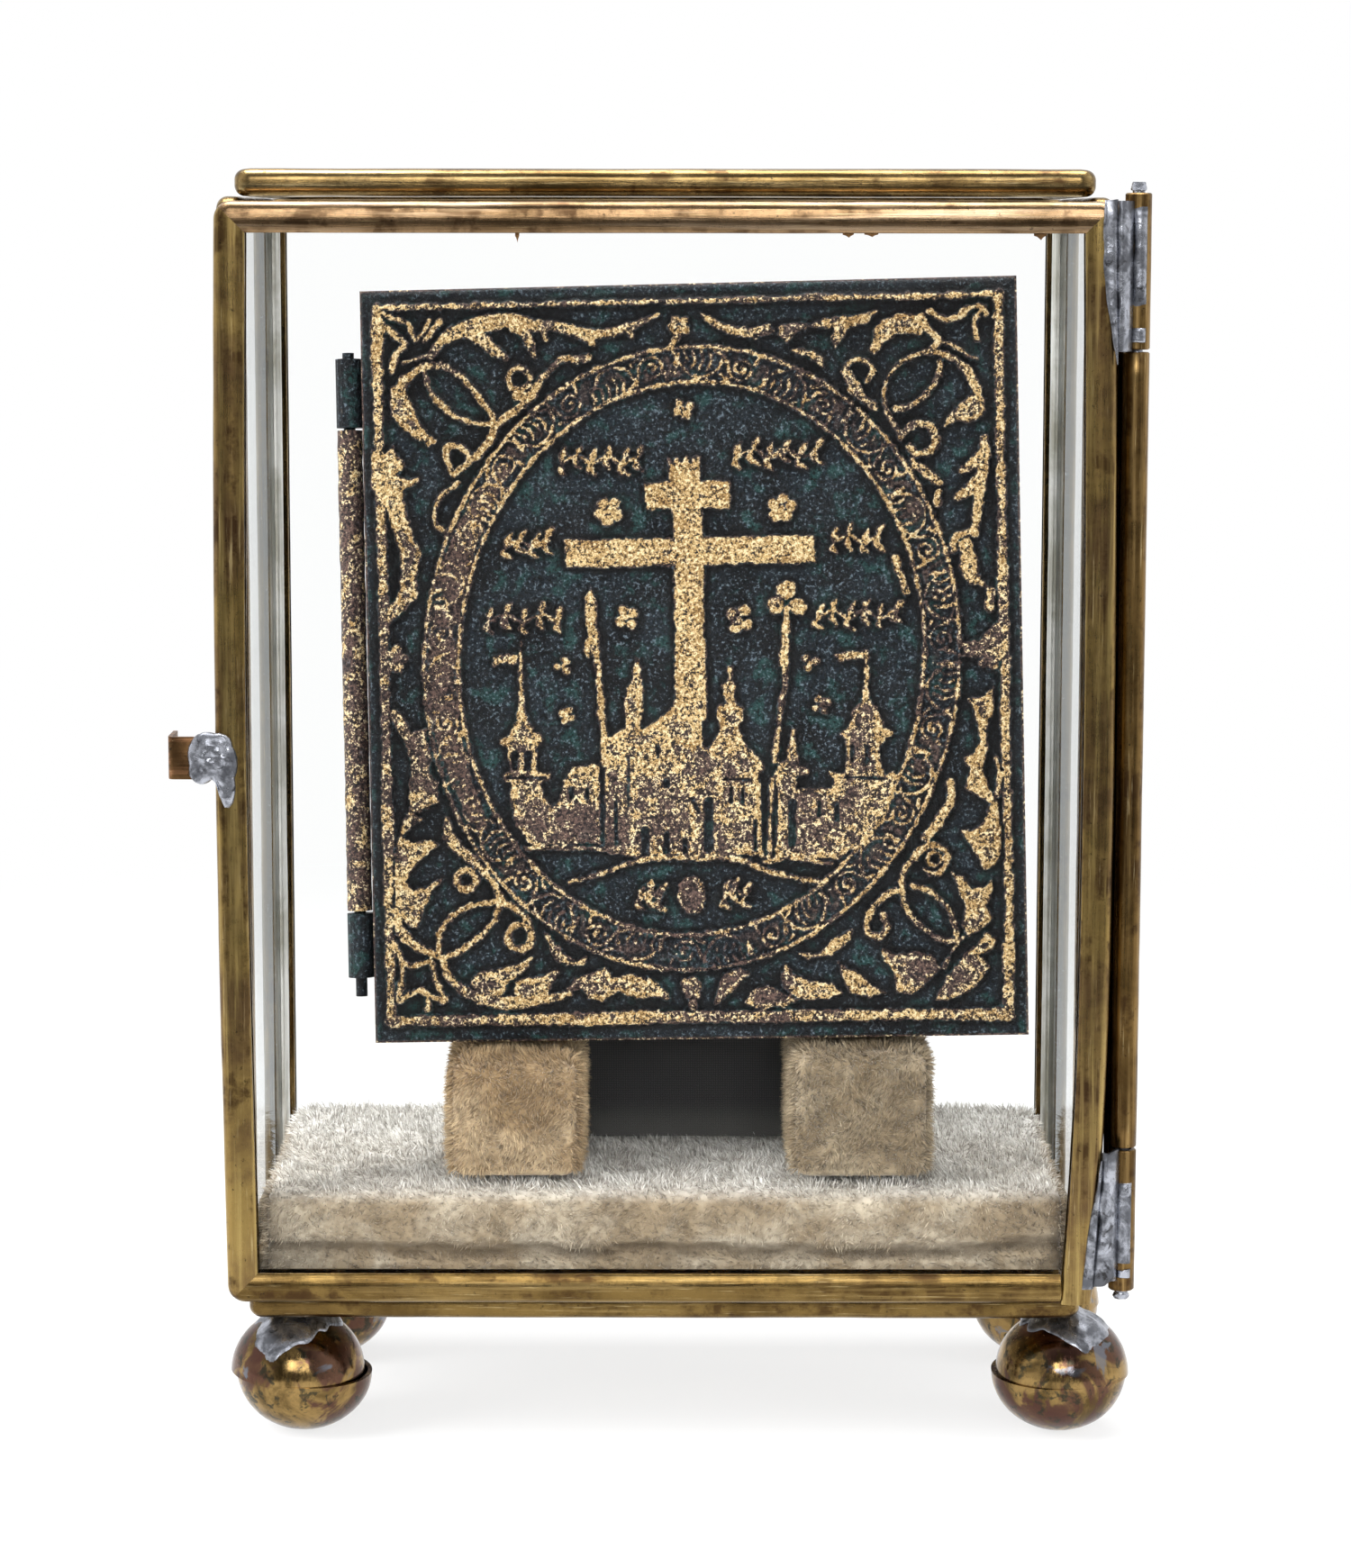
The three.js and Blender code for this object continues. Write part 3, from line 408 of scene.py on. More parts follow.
def velvet_material(name, pale, warm, dark, painted_top_light=None):
    """Cut pile, brushed into lighter and darker patches, with painted shade: dark at the roots, pale at the
    tips.
    dusty is the heights between which it turns paler: painted light on the base's top."""
    n = material(name)
    plain = n.place()
    colour = n.mix(n.between(n.noise(plain, 85, 4, 0.6, 0.8), 0.36, 0.66), srgb(*warm), srgb(*pale))
    if painted_top_light:
        # Painted light: the base turns paler towards its top, where more light falls.
        colour = n.tint(colour, n.between(n.axis(plain, "Z"), *painted_top_light), (252, 251, 247))
    colour = n.tint(colour, n.between(n.noise(plain, 900, 3, 0.6), 0.35, 0.62, 0.4, 0.0), dark)
    # Painted shade: darker at the pile's roots and along the base's crease, by the stored tip value.
    colour = n.tint(colour, n.between(n.stored("tip"), 0.0, 0.7, 0.7, 0.0), dark)
    return n.surface(colour, 0.92, Sheen_Weight=0.35, Sheen_Roughness=0.45, Specular_IOR_Level=0.2)


def board_material(name):
    """Black satin over card with a fine weave. Towards its foot it turns greyer: a painted reflection, with
    some lint.
    """
    n = material(name)
    weave = {"Vector": n.place((1, 0.2, 1)), "Scale": 900, "Distortion": 1.2, "Detail": 2}
    cloth = n.times(*(n.add("TexWave", weave, bands_direction=way).outputs["Fac"] for way in "ZX"))
    worn = n.noise(n.place((1, 1, 0.4)), 130, 4, 0.6)
    colour = n.mix(n.between(worn, 0.4, 0.7), srgb(10, 10, 13), srgb(25, 25, 28))
    # Painted reflection, with some lint: greyer towards the board's foot.
    colour = n.tint(colour, n.between(n.axis(n.place(), "Z"), 44 * MM, 38.5 * MM, 0.0, 0.5), (96, 95, 90))
    colour = n.tint(colour, cloth, (86, 84, 82), 0.35)
    return n.surface(colour, n.between(worn, 0.3, 0.7, 0.5, 0.7), Normal=n.bump(cloth, 0.05 * MM, 0.6),
                     Sheen_Weight=0.2)


def stage_material(name, shade, glow):
    """Floor: pale, and takes shadow. The camera and mirrors see it nearly white, but mirrors
    see it dark in front of the object, where the photographer stands."""
    n = material(name)
    place = n.place()
    path = n.add("LightPath").outputs
    front = n.times(n.between(n.axis(place, "Y"), -0.12, -0.32), path["Is Glossy Ray"])
    away = n.add("VectorMath", {0: place}, operation="LENGTH").outputs["Value"]
    surface = n.add("BsdfDiffuse", {"Color": n.mix(front, (shade, shade, shade, 1), (0.1, 0.1, 0.1, 1))})
    light = n.add("Emission", {"Color": n.mix(front, (1, 1, 1, 1), (0.12, 0.12, 0.12, 1)), "Strength": 1})
    seen = n.math("MAXIMUM", path["Is Camera Ray"], path["Is Glossy Ray"])
    seen = n.math("MAXIMUM", seen, path["Is Transmission Ray"])
    return n.finish(n.blend(n.times(seen, n.between(away, 0.15, 0.5, glow, 1.0)), surface, light))


OLD_BRASS = (172, 146, 96), (128, 104, 60), (92, 72, 40)
BRASS = {axis: brass_material("brass_along_" + axis.lower(), axis, OLD_BRASS, (0.16, 0.38)) for axis in "XYZ"}
TUBE_BRASS = brass_material("brass_tube", "Z", ((188, 156, 102), (136, 108, 64), (92, 70, 40)), (0.24, 0.42))
LID_BRASS = brass_material("brass_rubbed", "X", ((200, 178, 130), (158, 132, 86), (114, 92, 56)),
                           (0.16, 0.32))
DOOR_TOP_BRASS = brass_material("brass_pinkish", "X", ((206, 180, 150), (160, 130, 96), (116, 92, 64)),
                                (0.2, 0.34))
STILE_BRASS = brass_material("brass_stile", "Z", ((202, 176, 112), (160, 134, 80), (116, 92, 62)),
                             (0.24, 0.4))
TINNED = brass_material("brass_tinned", "Z", OLD_BRASS, (0.3, 0.5), 0.5,
                        ((232, 232, 227), (200, 200, 195), (146, 144, 132)))
# A darker copy of the brass: painted shade for the barrel's solder strip, in the gap beside the door.
PAINTED_SHADE_BRASS = brass_material("brass_shadowed", "Z", ((150, 120, 76), (104, 80, 46), (56, 42, 26)))
CATCH_BRASS = brass_material("brass_coppery", "X", ((196, 142, 104), (128, 96, 62), (84, 62, 40)),
                             (0.3, 0.46))
SOLDER = solder_material("soft_solder")
GLASS = glass_material("case_glass")
FOOT_BRASS = foot_material("pressed_brass")
GILT_BRONZE = bronze_material("gilt_bronze", True)
PLAIN_BRONZE = bronze_material("plain_bronze", False)
# The last pair is the heights over which the base's top turns paler: painted light.
VELVET = velvet_material("velvet_grey", (216, 204, 182), (176, 158, 130), (92, 78, 60), (34.5 * MM, 38 * MM))
VELVET_LEFT = velvet_material("velvet_tan", (218, 196, 160), (182, 156, 118), (88, 68, 48))
VELVET_RIGHT = velvet_material("velvet_drab", (200, 184, 156), (160, 142, 114), (84, 72, 56))
SATIN = board_material("black_satin")


def dress(node, mat):
    for slot in frame["nodes"][node].material_slots:
        slot.material = mat


def place(obj, body, mat, slot, *nodes):
    obj.data.materials.append(mat)
    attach(obj, body)
    if nodes:
        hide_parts(*nodes)
    return obj


# Channel rails

def came_section(half, width):
    """The folded channel's outer and inner lines, from one lip round the back to the other. Each
    point is (across, inward from the outer edge)."""
    lip, r = CAME_LIP_HALF, CAME_BACK_RADIUS
    side = [(lip - 0.28 * MM, width), (lip - 0.1 * MM, width - 0.05 * MM), (lip, width - LIP_ROUND)]
    for share in np.arange(7, 0, -1) / 8:
        bulge = CAME_BULGE * math.sin(math.pi * share)
        side.append((lip + (half - lip) * (1 - share) + bulge, r + (width - LIP_ROUND - r) * share))
    for step in range(9):
        angle = math.pi / 2 * step / 8
        side.append((half - r + r * math.cos(angle), r - r * math.sin(angle)))
    outer = side + [(-x, y) for x, y in reversed(side)]
    inner = []
    for x, y in outer:
        sign = 1 if x > 0 else -1
        deep = max(y + (CAME_WALL if y < r else 0), CAME_WALL) if y < width - 0.3 * MM else width
        inner.append((sign * max(abs(x) - CAME_WALL, 0.95 * MM if y > r else 0), min(deep, width)))
    return outer, inner


def rail_end(y, turn, kind):
    """How far a point stops short of a rail's full length, and how far it moves inward, as a
    mitred rail's rounded corner turns. y is how far inward of the outer edge the point lies."""
    if kind == "square":
        return 0.02 * MM * (1 - turn), 0
    if y >= CORNER_ROUND:
        return y + 0.06 * MM * (1 - turn), 0
    angle = math.pi / 4 * turn
    return CORNER_ROUND - (CORNER_ROUND - y) * math.sin(angle), (CORNER_ROUND - y) * (1 - math.cos(angle))


def channel_rail(node, body, axis, inward, across, mat, seed, ends=("mitre", "mitre"), bow=None, room=0):
    """Rebuilds one length of channel in the box of its CAD node, with rounded folds and small dents."""
    lo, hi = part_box(node)
    half_length, half, depth = (abs((hi - lo).dot(way)) / 2 for way in (axis, across, inward))
    edge = (lo + hi) / 2 - inward * (depth - room)
    steps = max(8, round(2 * half_length / (4 * MM)))
    outer, inner = came_section(half, CAME_WIDTH)
    loop = outer + inner[::-1]
    places = [(0, turn, 0) for turn in (1, 0.75, 0.5, 0.25)]
    places += [(i / steps, 0, 0) for i in range(steps + 1)]
    places += [(1, 0, turn) for turn in (0.25, 0.5, 0.75, 1)]
    tips = [CORNER_TIP if kind == "mitre" else 0 for kind in ends]
    verts = []
    for share, *turns in places:
        for x, y in loop:
            (start, start_in), (end, end_in) = (rail_end(y, *pair) for pair in zip(turns, ends))
            low, high = start - half_length - tips[0], half_length - end + tips[1]
            shift = start_in + end_in - (bow(share) if bow else 0)
            verts.append(edge + axis * (low + (high - low) * share) + across * x + inward * (y + shift))
    verts = np.array([tuple(v) for v in verts])
    wave = value_noise(verts, 9 * MM, seed) * 0.05 * MM + value_noise(verts, 2.2 * MM, seed + 50) * 0.018 * MM
    skin = np.tile(np.arange(len(loop)) < len(outer), len(places))
    centre, ahead = np.array([tuple(edge + inward * CAME_WIDTH / 2)]), np.array(axis)
    away = verts - (centre + np.outer((verts - centre) @ ahead, ahead))
    verts = verts + unit(away) * (np.minimum(wave, 0.02 * MM) * skin)[:, None]
    faces = folded_grid(len(places), len(loop))
    if axis.cross(inward).dot(across) > 0:
        faces = [f[::-1] for f in faces]
    obj = new_object("brass_" + node, verts, faces, sharp_degrees=50)
    return place(obj, body, mat, "brass_channel", node)


def stile_bend(share):
    foot = max(0, 1 - share / STILE_FOOT_SHARE)
    return STILE_BOW * math.sin(math.pi * share) - STILE_FOOT_BEND * foot * foot


def left_stile_bend(share):
    return LEFT_STILE_BOW * math.sin(math.pi * share)


RAIL_LOOKS = {
    "top_rail_front": LID_BRASS, "door_rail_top": DOOR_TOP_BRASS, "door_rail_left": STILE_BRASS,
    "door_rail_right": STILE_BRASS, "left_rail_back": TINNED, "right_rail_back": TINNED,
}
RAIL_SHAPES = {
    "door_rail_bottom": {"ends": ("mitre", "square")},
    "door_rail_right": {"ends": ("square", "mitre"), "bow": stile_bend, "room": STILE_BOW},
    "door_rail_left": {"bow": left_stile_bend},
}


def build_rails():
    x, y, z = Vector((1, 0, 0)), Vector((0, 1, 0)), Vector((0, 0, 1))
    upright = {"bottom": (x, "X", z), "top": (x, "X", -z), "left": (z, "Z", x), "right": (z, "Z", -x)}
    sideways = {"bottom": (y, "Y", z), "top": (y, "Y", -z), "front": (z, "Z", y), "back": (z, "Z", -y)}
    level = {"front": (x, "X", y), "back": (x, "X", -y), "left": (y, "Y", x), "right": (y, "Y", -x)}
    panels = [("door", upright, y), ("back", upright, y), ("left", sideways, x), ("right", sideways, x),
              ("floor", level, z), ("top", level, z)]
    seed = 0
    for panel, rails, across in panels:
        body = "door" if panel == "door" else "case_body"
        for side, (axis, letter, inward) in rails.items():
            seed += 1
            node = f"{panel}_rail_{side}"
            mat = RAIL_LOOKS.get(node, BRASS[letter])
            channel_rail(node, body, axis, inward, across, mat, seed, **RAIL_SHAPES.get(node, {}))


# Relief on the icon

class Relief:
    """Heights and gilding over a grid of points on the leaf's face, in millimetres."""

    def __init__(self):
        self.u = np.linspace(-LEAF_WIDTH / 2, LEAF_WIDTH / 2, round(LEAF_WIDTH / RELIEF_STEP) + 1)
        self.v = np.linspace(0, LEAF_HEIGHT, round(LEAF_HEIGHT / RELIEF_STEP) + 1)
        self.grid_u, self.grid_v = np.meshgrid(self.u, self.v)
        self.flat = np.stack([self.grid_u.ravel(), self.grid_v.ravel()], 1)
        self.wobble = self.noise(1.6, 3) * 0.14 + self.noise(0.55, 4) * 0.19
        self.grain = self.noise(0.6, 5) * 0.6 + self.noise(0.32, 6) * 0.4
        self.swell = self.noise(9, 7)
        self.height = np.zeros(self.grid_u.shape)
        self.gilt = np.zeros(self.grid_u.shape)

    def noise(self, cell, seed, stretch=(1, 1)):
        return value_noise(self.flat * stretch, cell, seed).reshape(self.grid_u.shape)

    def window(self, points, reach):
        low, high = np.min(points, 0) - reach, np.max(points, 0) + reach
        columns = slice(*np.searchsorted(self.u, (low[0], high[0])))
        rows = slice(*np.searchsorted(self.v, (low[1], high[1])))
        return rows, columns

    def distance(self, points, rows, columns):
        """Distance to a line through the points, and how far along it the nearest place lies."""
        gu, gv = self.grid_u[rows, columns], self.grid_v[rows, columns]
        best = np.full(gu.shape, 1e9)
        where = np.zeros(gu.shape)
        total = len(points) - 1
        for k, (a, b) in enumerate(zip(points[:-1], points[1:])):
            d = b - a
            t = np.clip(((gu - a[0]) * d[0] + (gv - a[1]) * d[1]) / max(d @ d, 1e-9), 0, 1)
            away = np.hypot(gu - a[0] - t * d[0], gv - a[1] - t * d[1])
            nearer = away < best
            best = np.where(nearer, away, best)
            where = np.where(nearer, (k + t) / total, where)
        return best, where

    def keep(self, rows, columns, inside, lift, gold):
        """Raises the ground where inside, the depth in millimetres within an outline, is above zero."""
        depth = inside + self.wobble[rows, columns]
        old = self.height[rows, columns]
        self.height[rows, columns] = np.maximum(old, smoothstep(-0.22, 0.4, depth) * lift)
        tone = gold * smoothstep(-0.14, 0.34, depth)
        self.gilt[rows, columns] = np.maximum(self.gilt[rows, columns], tone)

    def stroke(self, points, widths, lift=1.0, gold=1.0):
        """A raised line. widths is one width, or one for each of a few places along it."""
        points = np.asarray(points, float)
        widths = np.atleast_1d(np.asarray(widths, float))
        rows, columns = self.window(points, widths.max() + 1)
        away, along = self.distance(points, rows, columns)
        half = np.interp(along, np.linspace(0, 1, len(widths)), widths / 2)
        self.keep(rows, columns, half - away, lift, gold)

    def dot(self, centre, radius, lift=1.0, gold=1.0):
        centre = np.asarray(centre, float)
        self.stroke([centre, centre + 0.02], 2 * radius, lift, gold)

    def fill(self, points, lift=1.0, gold=1.0, middle=0.74):
        """Raises an outline's inside. middle is the gilding away from its edge."""
        points = np.asarray(points, float)
        rows, columns = self.window(points, 1)
        closed = np.vstack([points, points[:1]])
        away, _ = self.distance(closed, rows, columns)
        gu, gv = self.grid_u[rows, columns], self.grid_v[rows, columns]
        inside = np.zeros(gu.shape, bool)
        for a, b in zip(closed[:-1], closed[1:]):
            spans = (a[1] > gv) != (b[1] > gv)
            with np.errstate(divide="ignore", invalid="ignore"):
                crossing = a[0] + (gv - a[1]) / (b[1] - a[1]) * (b[0] - a[0])
            inside ^= spans & (gu < crossing)
        depth = np.where(inside, away, -away)
        self.keep(rows, columns, depth, lift, gold)
        core = smoothstep(0.5, 1.2, depth)
        gilt = self.gilt[rows, columns]
        self.gilt[rows, columns] = gilt * (1 - core) + np.minimum(gilt, middle) * core

    def sink(self, points, width, depth=0.6):
        """Cuts a line into what has been raised, down by a share of its height."""
        points = np.asarray(points, float)
        rows, columns = self.window(points, width + 1)
        away, _ = self.distance(points, rows, columns)
        cut = smoothstep(-0.15, 0.2, width / 2 - away + self.wobble[rows, columns] * 0.6)
        self.height[rows, columns] *= 1 - depth * cut
        self.gilt[rows, columns] *= 1 - 0.95 * cut


def curve(points, per_span=6):
    """A smooth line through a few points."""
    p = np.asarray(points, float)
    if len(p) < 3:
        return p
    p = np.vstack([2 * p[0] - p[1], p, 2 * p[-1] - p[-2]])
    line = []
    for a, b, c, d in zip(p[:-3], p[1:-2], p[2:-1], p[3:]):
        for t in np.arange(per_span) / per_span:
            line.append(0.5 * ((2 * b) + (c - a) * t + (2 * a - 5 * b + 4 * c - d) * t**2
                               + (3 * b - a - 3 * c + d) * t**3))
    line.append(p[-2])
    return np.array(line)


def share_point(u, v):
    return (u - 0.5) * LEAF_WIDTH, v * LEAF_HEIGHT


def share_line(shares):
    return np.array([share_point(u, v) for u, v in shares])


# The leaf's corners in the photograph, from its foot's left corner round to its top's left one
LEAF_CORNERS = [(418, 1166), (1138, 1160), (1117, 312), (391, 330)]
LEAF_PIXELS = 7.64

# Enlarged views of the leaf's quarters in the photograph, off which its ornament's places were
# read: a view's top left corner and its unit, in pixels
VIEWS = {
    "top_left": (380, 320, 0.336),
    "top_right": (740, 300, 0.352),
    "foot_left": (400, 730, 0.36),
    "foot_right": (760, 730, 0.36),
}


def pixel_to_face():
    """The projective map from the photograph to the leaf's face."""
    w, h = LEAF_WIDTH / 2, LEAF_HEIGHT
    rows, values = [], []
    for (x, y), (u, v) in zip(LEAF_CORNERS, [(-w, 0), (w, 0), (w, h), (-w, h)]):
        rows.append([x, y, 1, 0, 0, 0, -u * x, -u * y])
        rows.append([0, 0, 0, x, y, 1, -v * x, -v * y])
        values += [u, v]
    return np.append(np.linalg.solve(np.array(rows, float), np.array(values, float)), 1).reshape(3, 3)


FACE_MAP = pixel_to_face()


def seen(view, points):
    """Places read off a view, on the leaf's face in millimetres."""
    left, top, unit = VIEWS[view]
    p = np.asarray(points, float) * unit + (left, top)
    q = np.column_stack([p, np.ones(len(p))]) @ FACE_MAP.T
    return q[:, :2] / q[:, 2:]


BAND_CENTRE = np.array(share_point(0.4965, 0.5045))
BAND_RADII = np.array([0.4125 * LEAF_WIDTH, 0.415 * LEAF_HEIGHT])
BAND_WIDTH = 5.8
BAND_SKEW = 0.6
BAND_PERIODS = 19

CROSS_SHARES = [
    (0.47, 0.42), (0.473, 0.627), (0.307, 0.627), (0.307, 0.666), (0.472, 0.666), (0.472, 0.703),
    (0.43, 0.7), (0.428, 0.74), (0.468, 0.74), (0.467, 0.772), (0.474, 0.766), (0.481, 0.773),
    (0.488, 0.766), (0.495, 0.773), (0.502, 0.766), (0.509, 0.773), (0.518, 0.772), (0.518, 0.74),
    (0.562, 0.74), (0.562, 0.701), (0.52, 0.703), (0.52, 0.666), (0.69, 0.666), (0.69, 0.627),
    (0.52, 0.627), (0.52, 0.42),
]

# The town behind the cross: outlines and the dark slots in them
TOWN = [
    ("foot_left", [
        [(474, -30), (486, -30), (492, 110), (500, 195), (525, 245), (558, 275), (552, 298), (535, 305),
         (540, 372), (578, 382), (572, 405), (552, 412), (560, 450), (585, 485), (605, 455), (615, 400),
         (645, 362), (700, 352), (728, 350), (735, 600), (520, 610), (470, 540), (455, 470), (455, 410),
         (432, 400), (432, 382), (450, 375), (440, 305), (418, 292), (418, 278), (445, 262), (465, 220),
         (475, 170)],
        [(735, 270), (768, 262), (800, 240), (795, 150), (818, 95), (833, 25), (847, 30), (858, 130),
         (855, 240), (885, 228), (925, 195), (950, 165), (960, 100), (1040, 100), (1056, 640), (850, 640),
         (735, 615)],
    ]),
    ("foot_right", [
        [(0, 100), (42, 130), (44, 290), (60, 300), (80, 270), (95, 240), (80, 200), (85, 175), (110, 165),
         (98, 110), (115, 100), (115, 50), (130, 50), (133, 100), (142, 115), (142, 160), (165, 180),
         (165, 210), (155, 240), (170, 285), (215, 330), (235, 355), (235, 370), (215, 380), (220, 430),
         (235, 640), (0, 640)],
        [(262, 390), (268, 352), (295, 340), (300, 300), (313, 240), (325, 245), (332, 300), (340, 355),
         (370, 370), (365, 385), (332, 395), (332, 425), (438, 428), (442, 402), (425, 388), (430, 375),
         (475, 380), (482, 330), (480, 280), (462, 262), (465, 250), (490, 235), (500, 190), (522, 165),
         (530, 120), (534, 0), (548, 0), (555, 150), (578, 180), (600, 240), (625, 250), (625, 266),
         (605, 275), (590, 300), (587, 340), (602, 385), (630, 378), (640, 392), (636, 440), (610, 530),
         (560, 585), (460, 650), (262, 650)],
    ]),
    ("foot_left", [
        [(395, 16), (440, 10), (474, 14), (472, 48), (430, 42), (400, 52)],
    ]),
    ("foot_right", [
        [(440, 14), (490, 4), (540, 6), (540, 34), (500, 30), (462, 40)],
    ]),
]
SLOTS = [
    ("foot_left", [
        ([(467, 322), (467, 362)], 24), ([(507, 322), (507, 362)], 24), ([(445, 393), (560, 396)], 8),
        ([(640, 430), (640, 455)], 16), ([(690, 430), (690, 455)], 16), ([(738, 300), (742, 600)], 9),
        ([(778, 470), (780, 600)], 10), ([(868, 560), (868, 632)], 26), ([(935, 570), (935, 632)], 20),
        ([(990, 590), (990, 632)], 13), ([(905, 300), (905, 330)], 12), ([(1010, 460), (1030, 500)], 12),
        ([(815, 330), (815, 480)], 7), ([(930, 410), (932, 414)], 24),
    ]),
    ("foot_right", [
        ([(62, 470), (62, 612)], 30), ([(205, 530), (205, 620)], 12), ([(232, 400), (236, 610)], 16),
        ([(318, 470), (318, 600)], 24), ([(105, 400), (185, 402)], 7), ([(130, 430), (130, 470)], 14),
        ([(165, 430), (165, 470)], 12), ([(500, 300), (500, 345)], 13), ([(545, 300), (545, 345)], 13),
        ([(480, 395), (600, 398)], 8), ([(400, 470), (400, 510)], 14), ([(455, 480), (455, 525)], 14),
        ([(270, 430), (270, 600)], 8),
    ]),
]

# Raised lines: the line and its width or widths, in the view's units
LINES = [
    ("top_left", [
        ([(110, 100), (140, 118), (190, 136), (208, 170), (222, 190), (245, 165), (265, 128)], 22),
        ([(250, 195), (272, 165), (297, 132)], 22),
        ([(125, 150), (150, 172), (183, 208), (160, 240), (145, 290)], 28),
        ([(90, 112), (110, 150), (100, 205)], 34),
        ([(182, 268), (225, 255), (262, 240), (290, 210)], 15),
        ([(268, 248), (300, 205), (345, 172), (400, 150), (470, 134), (530, 128), (600, 144), (680, 148),
          (760, 168), (850, 168), (930, 145), (1018, 105)], [24, 34, 52, 62, 58, 52, 46, 42, 38, 36, 30, 14]),
        ([(395, 165), (440, 195), (480, 225), (512, 250)], [52, 48, 44, 26]),
        ([(545, 140), (580, 175), (598, 215), (615, 252)], [54, 46, 36, 12]),
        ([(632, 150), (648, 188)], [36, 22]),
        ([(745, 168), (785, 188), (805, 202)], [36, 34, 24]),
        ([(915, 155), (930, 184)], [28, 16]),
        ([(440, 150), (432, 118)], [30, 18]),
        ([(1075, 185), (1062, 215)], 30),
        ([(245, 278), (300, 279), (350, 300), (400, 345), (440, 395), (468, 435), (482, 462)], 25),
        ([(250, 285), (262, 345), (300, 400), (345, 440), (400, 465), (450, 472), (485, 465)], 25),
        ([(300, 275), (245, 285), (190, 325), (165, 375)], [20, 28, 42, 50]),
        ([(400, 600), (385, 560), (345, 542), (322, 565), (335, 610), (350, 640)], 27),
        ([(482, 470), (470, 520), (440, 560), (400, 596), (360, 630)], 30),
        ([(362, 668), (315, 705), (290, 750), (292, 800), (320, 822)], 23),
        ([(610, 370), (575, 405), (530, 440), (490, 470)], 30),
        ([(560, 380), (600, 375), (625, 335), (660, 295), (700, 255), (745, 258), (790, 250)],
          [42, 36, 30, 26, 26, 28, 22]),
    ]),
    ("top_right", [
        ([(800, 150), (850, 175), (890, 165), (920, 140), (955, 135), (975, 155)], 25),
        ([(955, 150), (940, 190), (950, 240)], 23),
        ([(830, 240), (880, 262), (925, 290), (950, 300)], 14),
        ([(770, 170), (800, 212), (832, 240), (800, 272)], [30, 26, 24, 20]),
        ([(800, 275), (755, 287), (700, 322), (665, 370), (658, 430), (685, 500), (715, 545)], 20),
        ([(775, 280), (830, 281), (890, 310), (925, 350), (950, 405)], [22, 24, 26, 34, 40]),
        ([(832, 310), (830, 350), (790, 410), (740, 450), (690, 460)], 23),
        ([(530, 345), (548, 312), (590, 304), (620, 335), (604, 372)], 22),
        ([(545, 350), (565, 390), (590, 420), (632, 455)], [34, 50, 30, 26]),
        ([(715, 545), (750, 512), (795, 510), (822, 545), (812, 585), (770, 602), (738, 580)], 27),
        ([(835, 720), (828, 757)], [24, 28]),
        ([(975, 550), (975, 600), (965, 680), (955, 760), (945, 855)], [20, 40, 42, 36, 34]),
        ([(960, 620), (905, 655)], [52, 22]),
        ([(950, 700), (892, 742)], [58, 24]),
        ([(945, 850), (905, 856), (880, 880), (884, 905)], 30),
        ([(1000, 1040), (996, 1092)], 30),
        ([(700, 930), (712, 980), (735, 1040)], 26),
        ([(358, 1090), (354, 1180), (346, 1262)], 30),
    ]),
    ("foot_left", [
        ([(110, 800), (122, 860), (170, 910), (240, 945)], [32, 42, 34, 26]),
        ([(240, 938), (245, 870), (290, 812), (350, 787), (425, 776)], 23),
        ([(425, 780), (410, 830), (370, 880), (300, 930), (255, 946)], 23),
        ([(262, 520), (268, 570), (300, 615), (350, 655), (400, 712), (430, 765)], [20, 42, 38, 34, 26, 24]),
        ([(430, 775), (475, 800), (515, 835), (520, 862)], 24),
        ([(250, 950), (270, 1000), (320, 1050), (400, 1082), (480, 1088), (560, 1080), (640, 1060)],
          [24, 28, 36, 46, 46, 32, 24]),
        ([(100, 900), (130, 960), (128, 1030), (120, 1080), (180, 1048), (215, 1066), (262, 1078),
          (235, 1020), (215, 960), (165, 975), (130, 960)], 25),
        ([(210, 1070), (210, 1108)], 26),
        ([(640, 715), (740, 690), (850, 650), (930, 640), (1056, 642)], [16, 18, 20, 22, 26]),
        ([(500, 612), (600, 608), (740, 615), (840, 635)], 20),
        ([(712, -60), (718, 60), (735, 240), (742, 350)], [20, 24, 26, 24]),
        ([(1020, 1085), (1018, 1105)], 30),
    ]),
    ("foot_right", [
        ([(0, 645), (100, 640), (170, 650), (230, 680), (300, 700), (395, 716)], [26, 26, 26, 24, 20, 18]),
        ([(235, 655), (330, 645), (440, 662)], 18),
        ([(298, -30), (288, 120), (272, 260), (262, 345)], 24),
        ([(258, 400), (252, 500), (250, 640)], 18),
        ([(800, 410), (805, 470), (770, 530), (730, 582)], [24, 32, 38, 28]),
        ([(665, 680), (700, 635), (745, 606), (788, 625), (790, 668), (758, 694), (725, 680)], 24),
        ([(700, 640), (662, 682), (655, 740), (670, 800), (720, 860), (785, 900), (832, 900)], 21),
        ([(690, 730), (740, 747), (790, 790), (820, 850), (828, 895)], 21),
        ([(640, 745), (590, 775), (555, 820), (550, 870), (590, 890), (612, 860), (600, 822)], 25),
        ([(942, 340), (955, 400), (948, 450)], 22),
        ([(845, 890), (815, 930), (790, 985)], 14),
    ]),
]

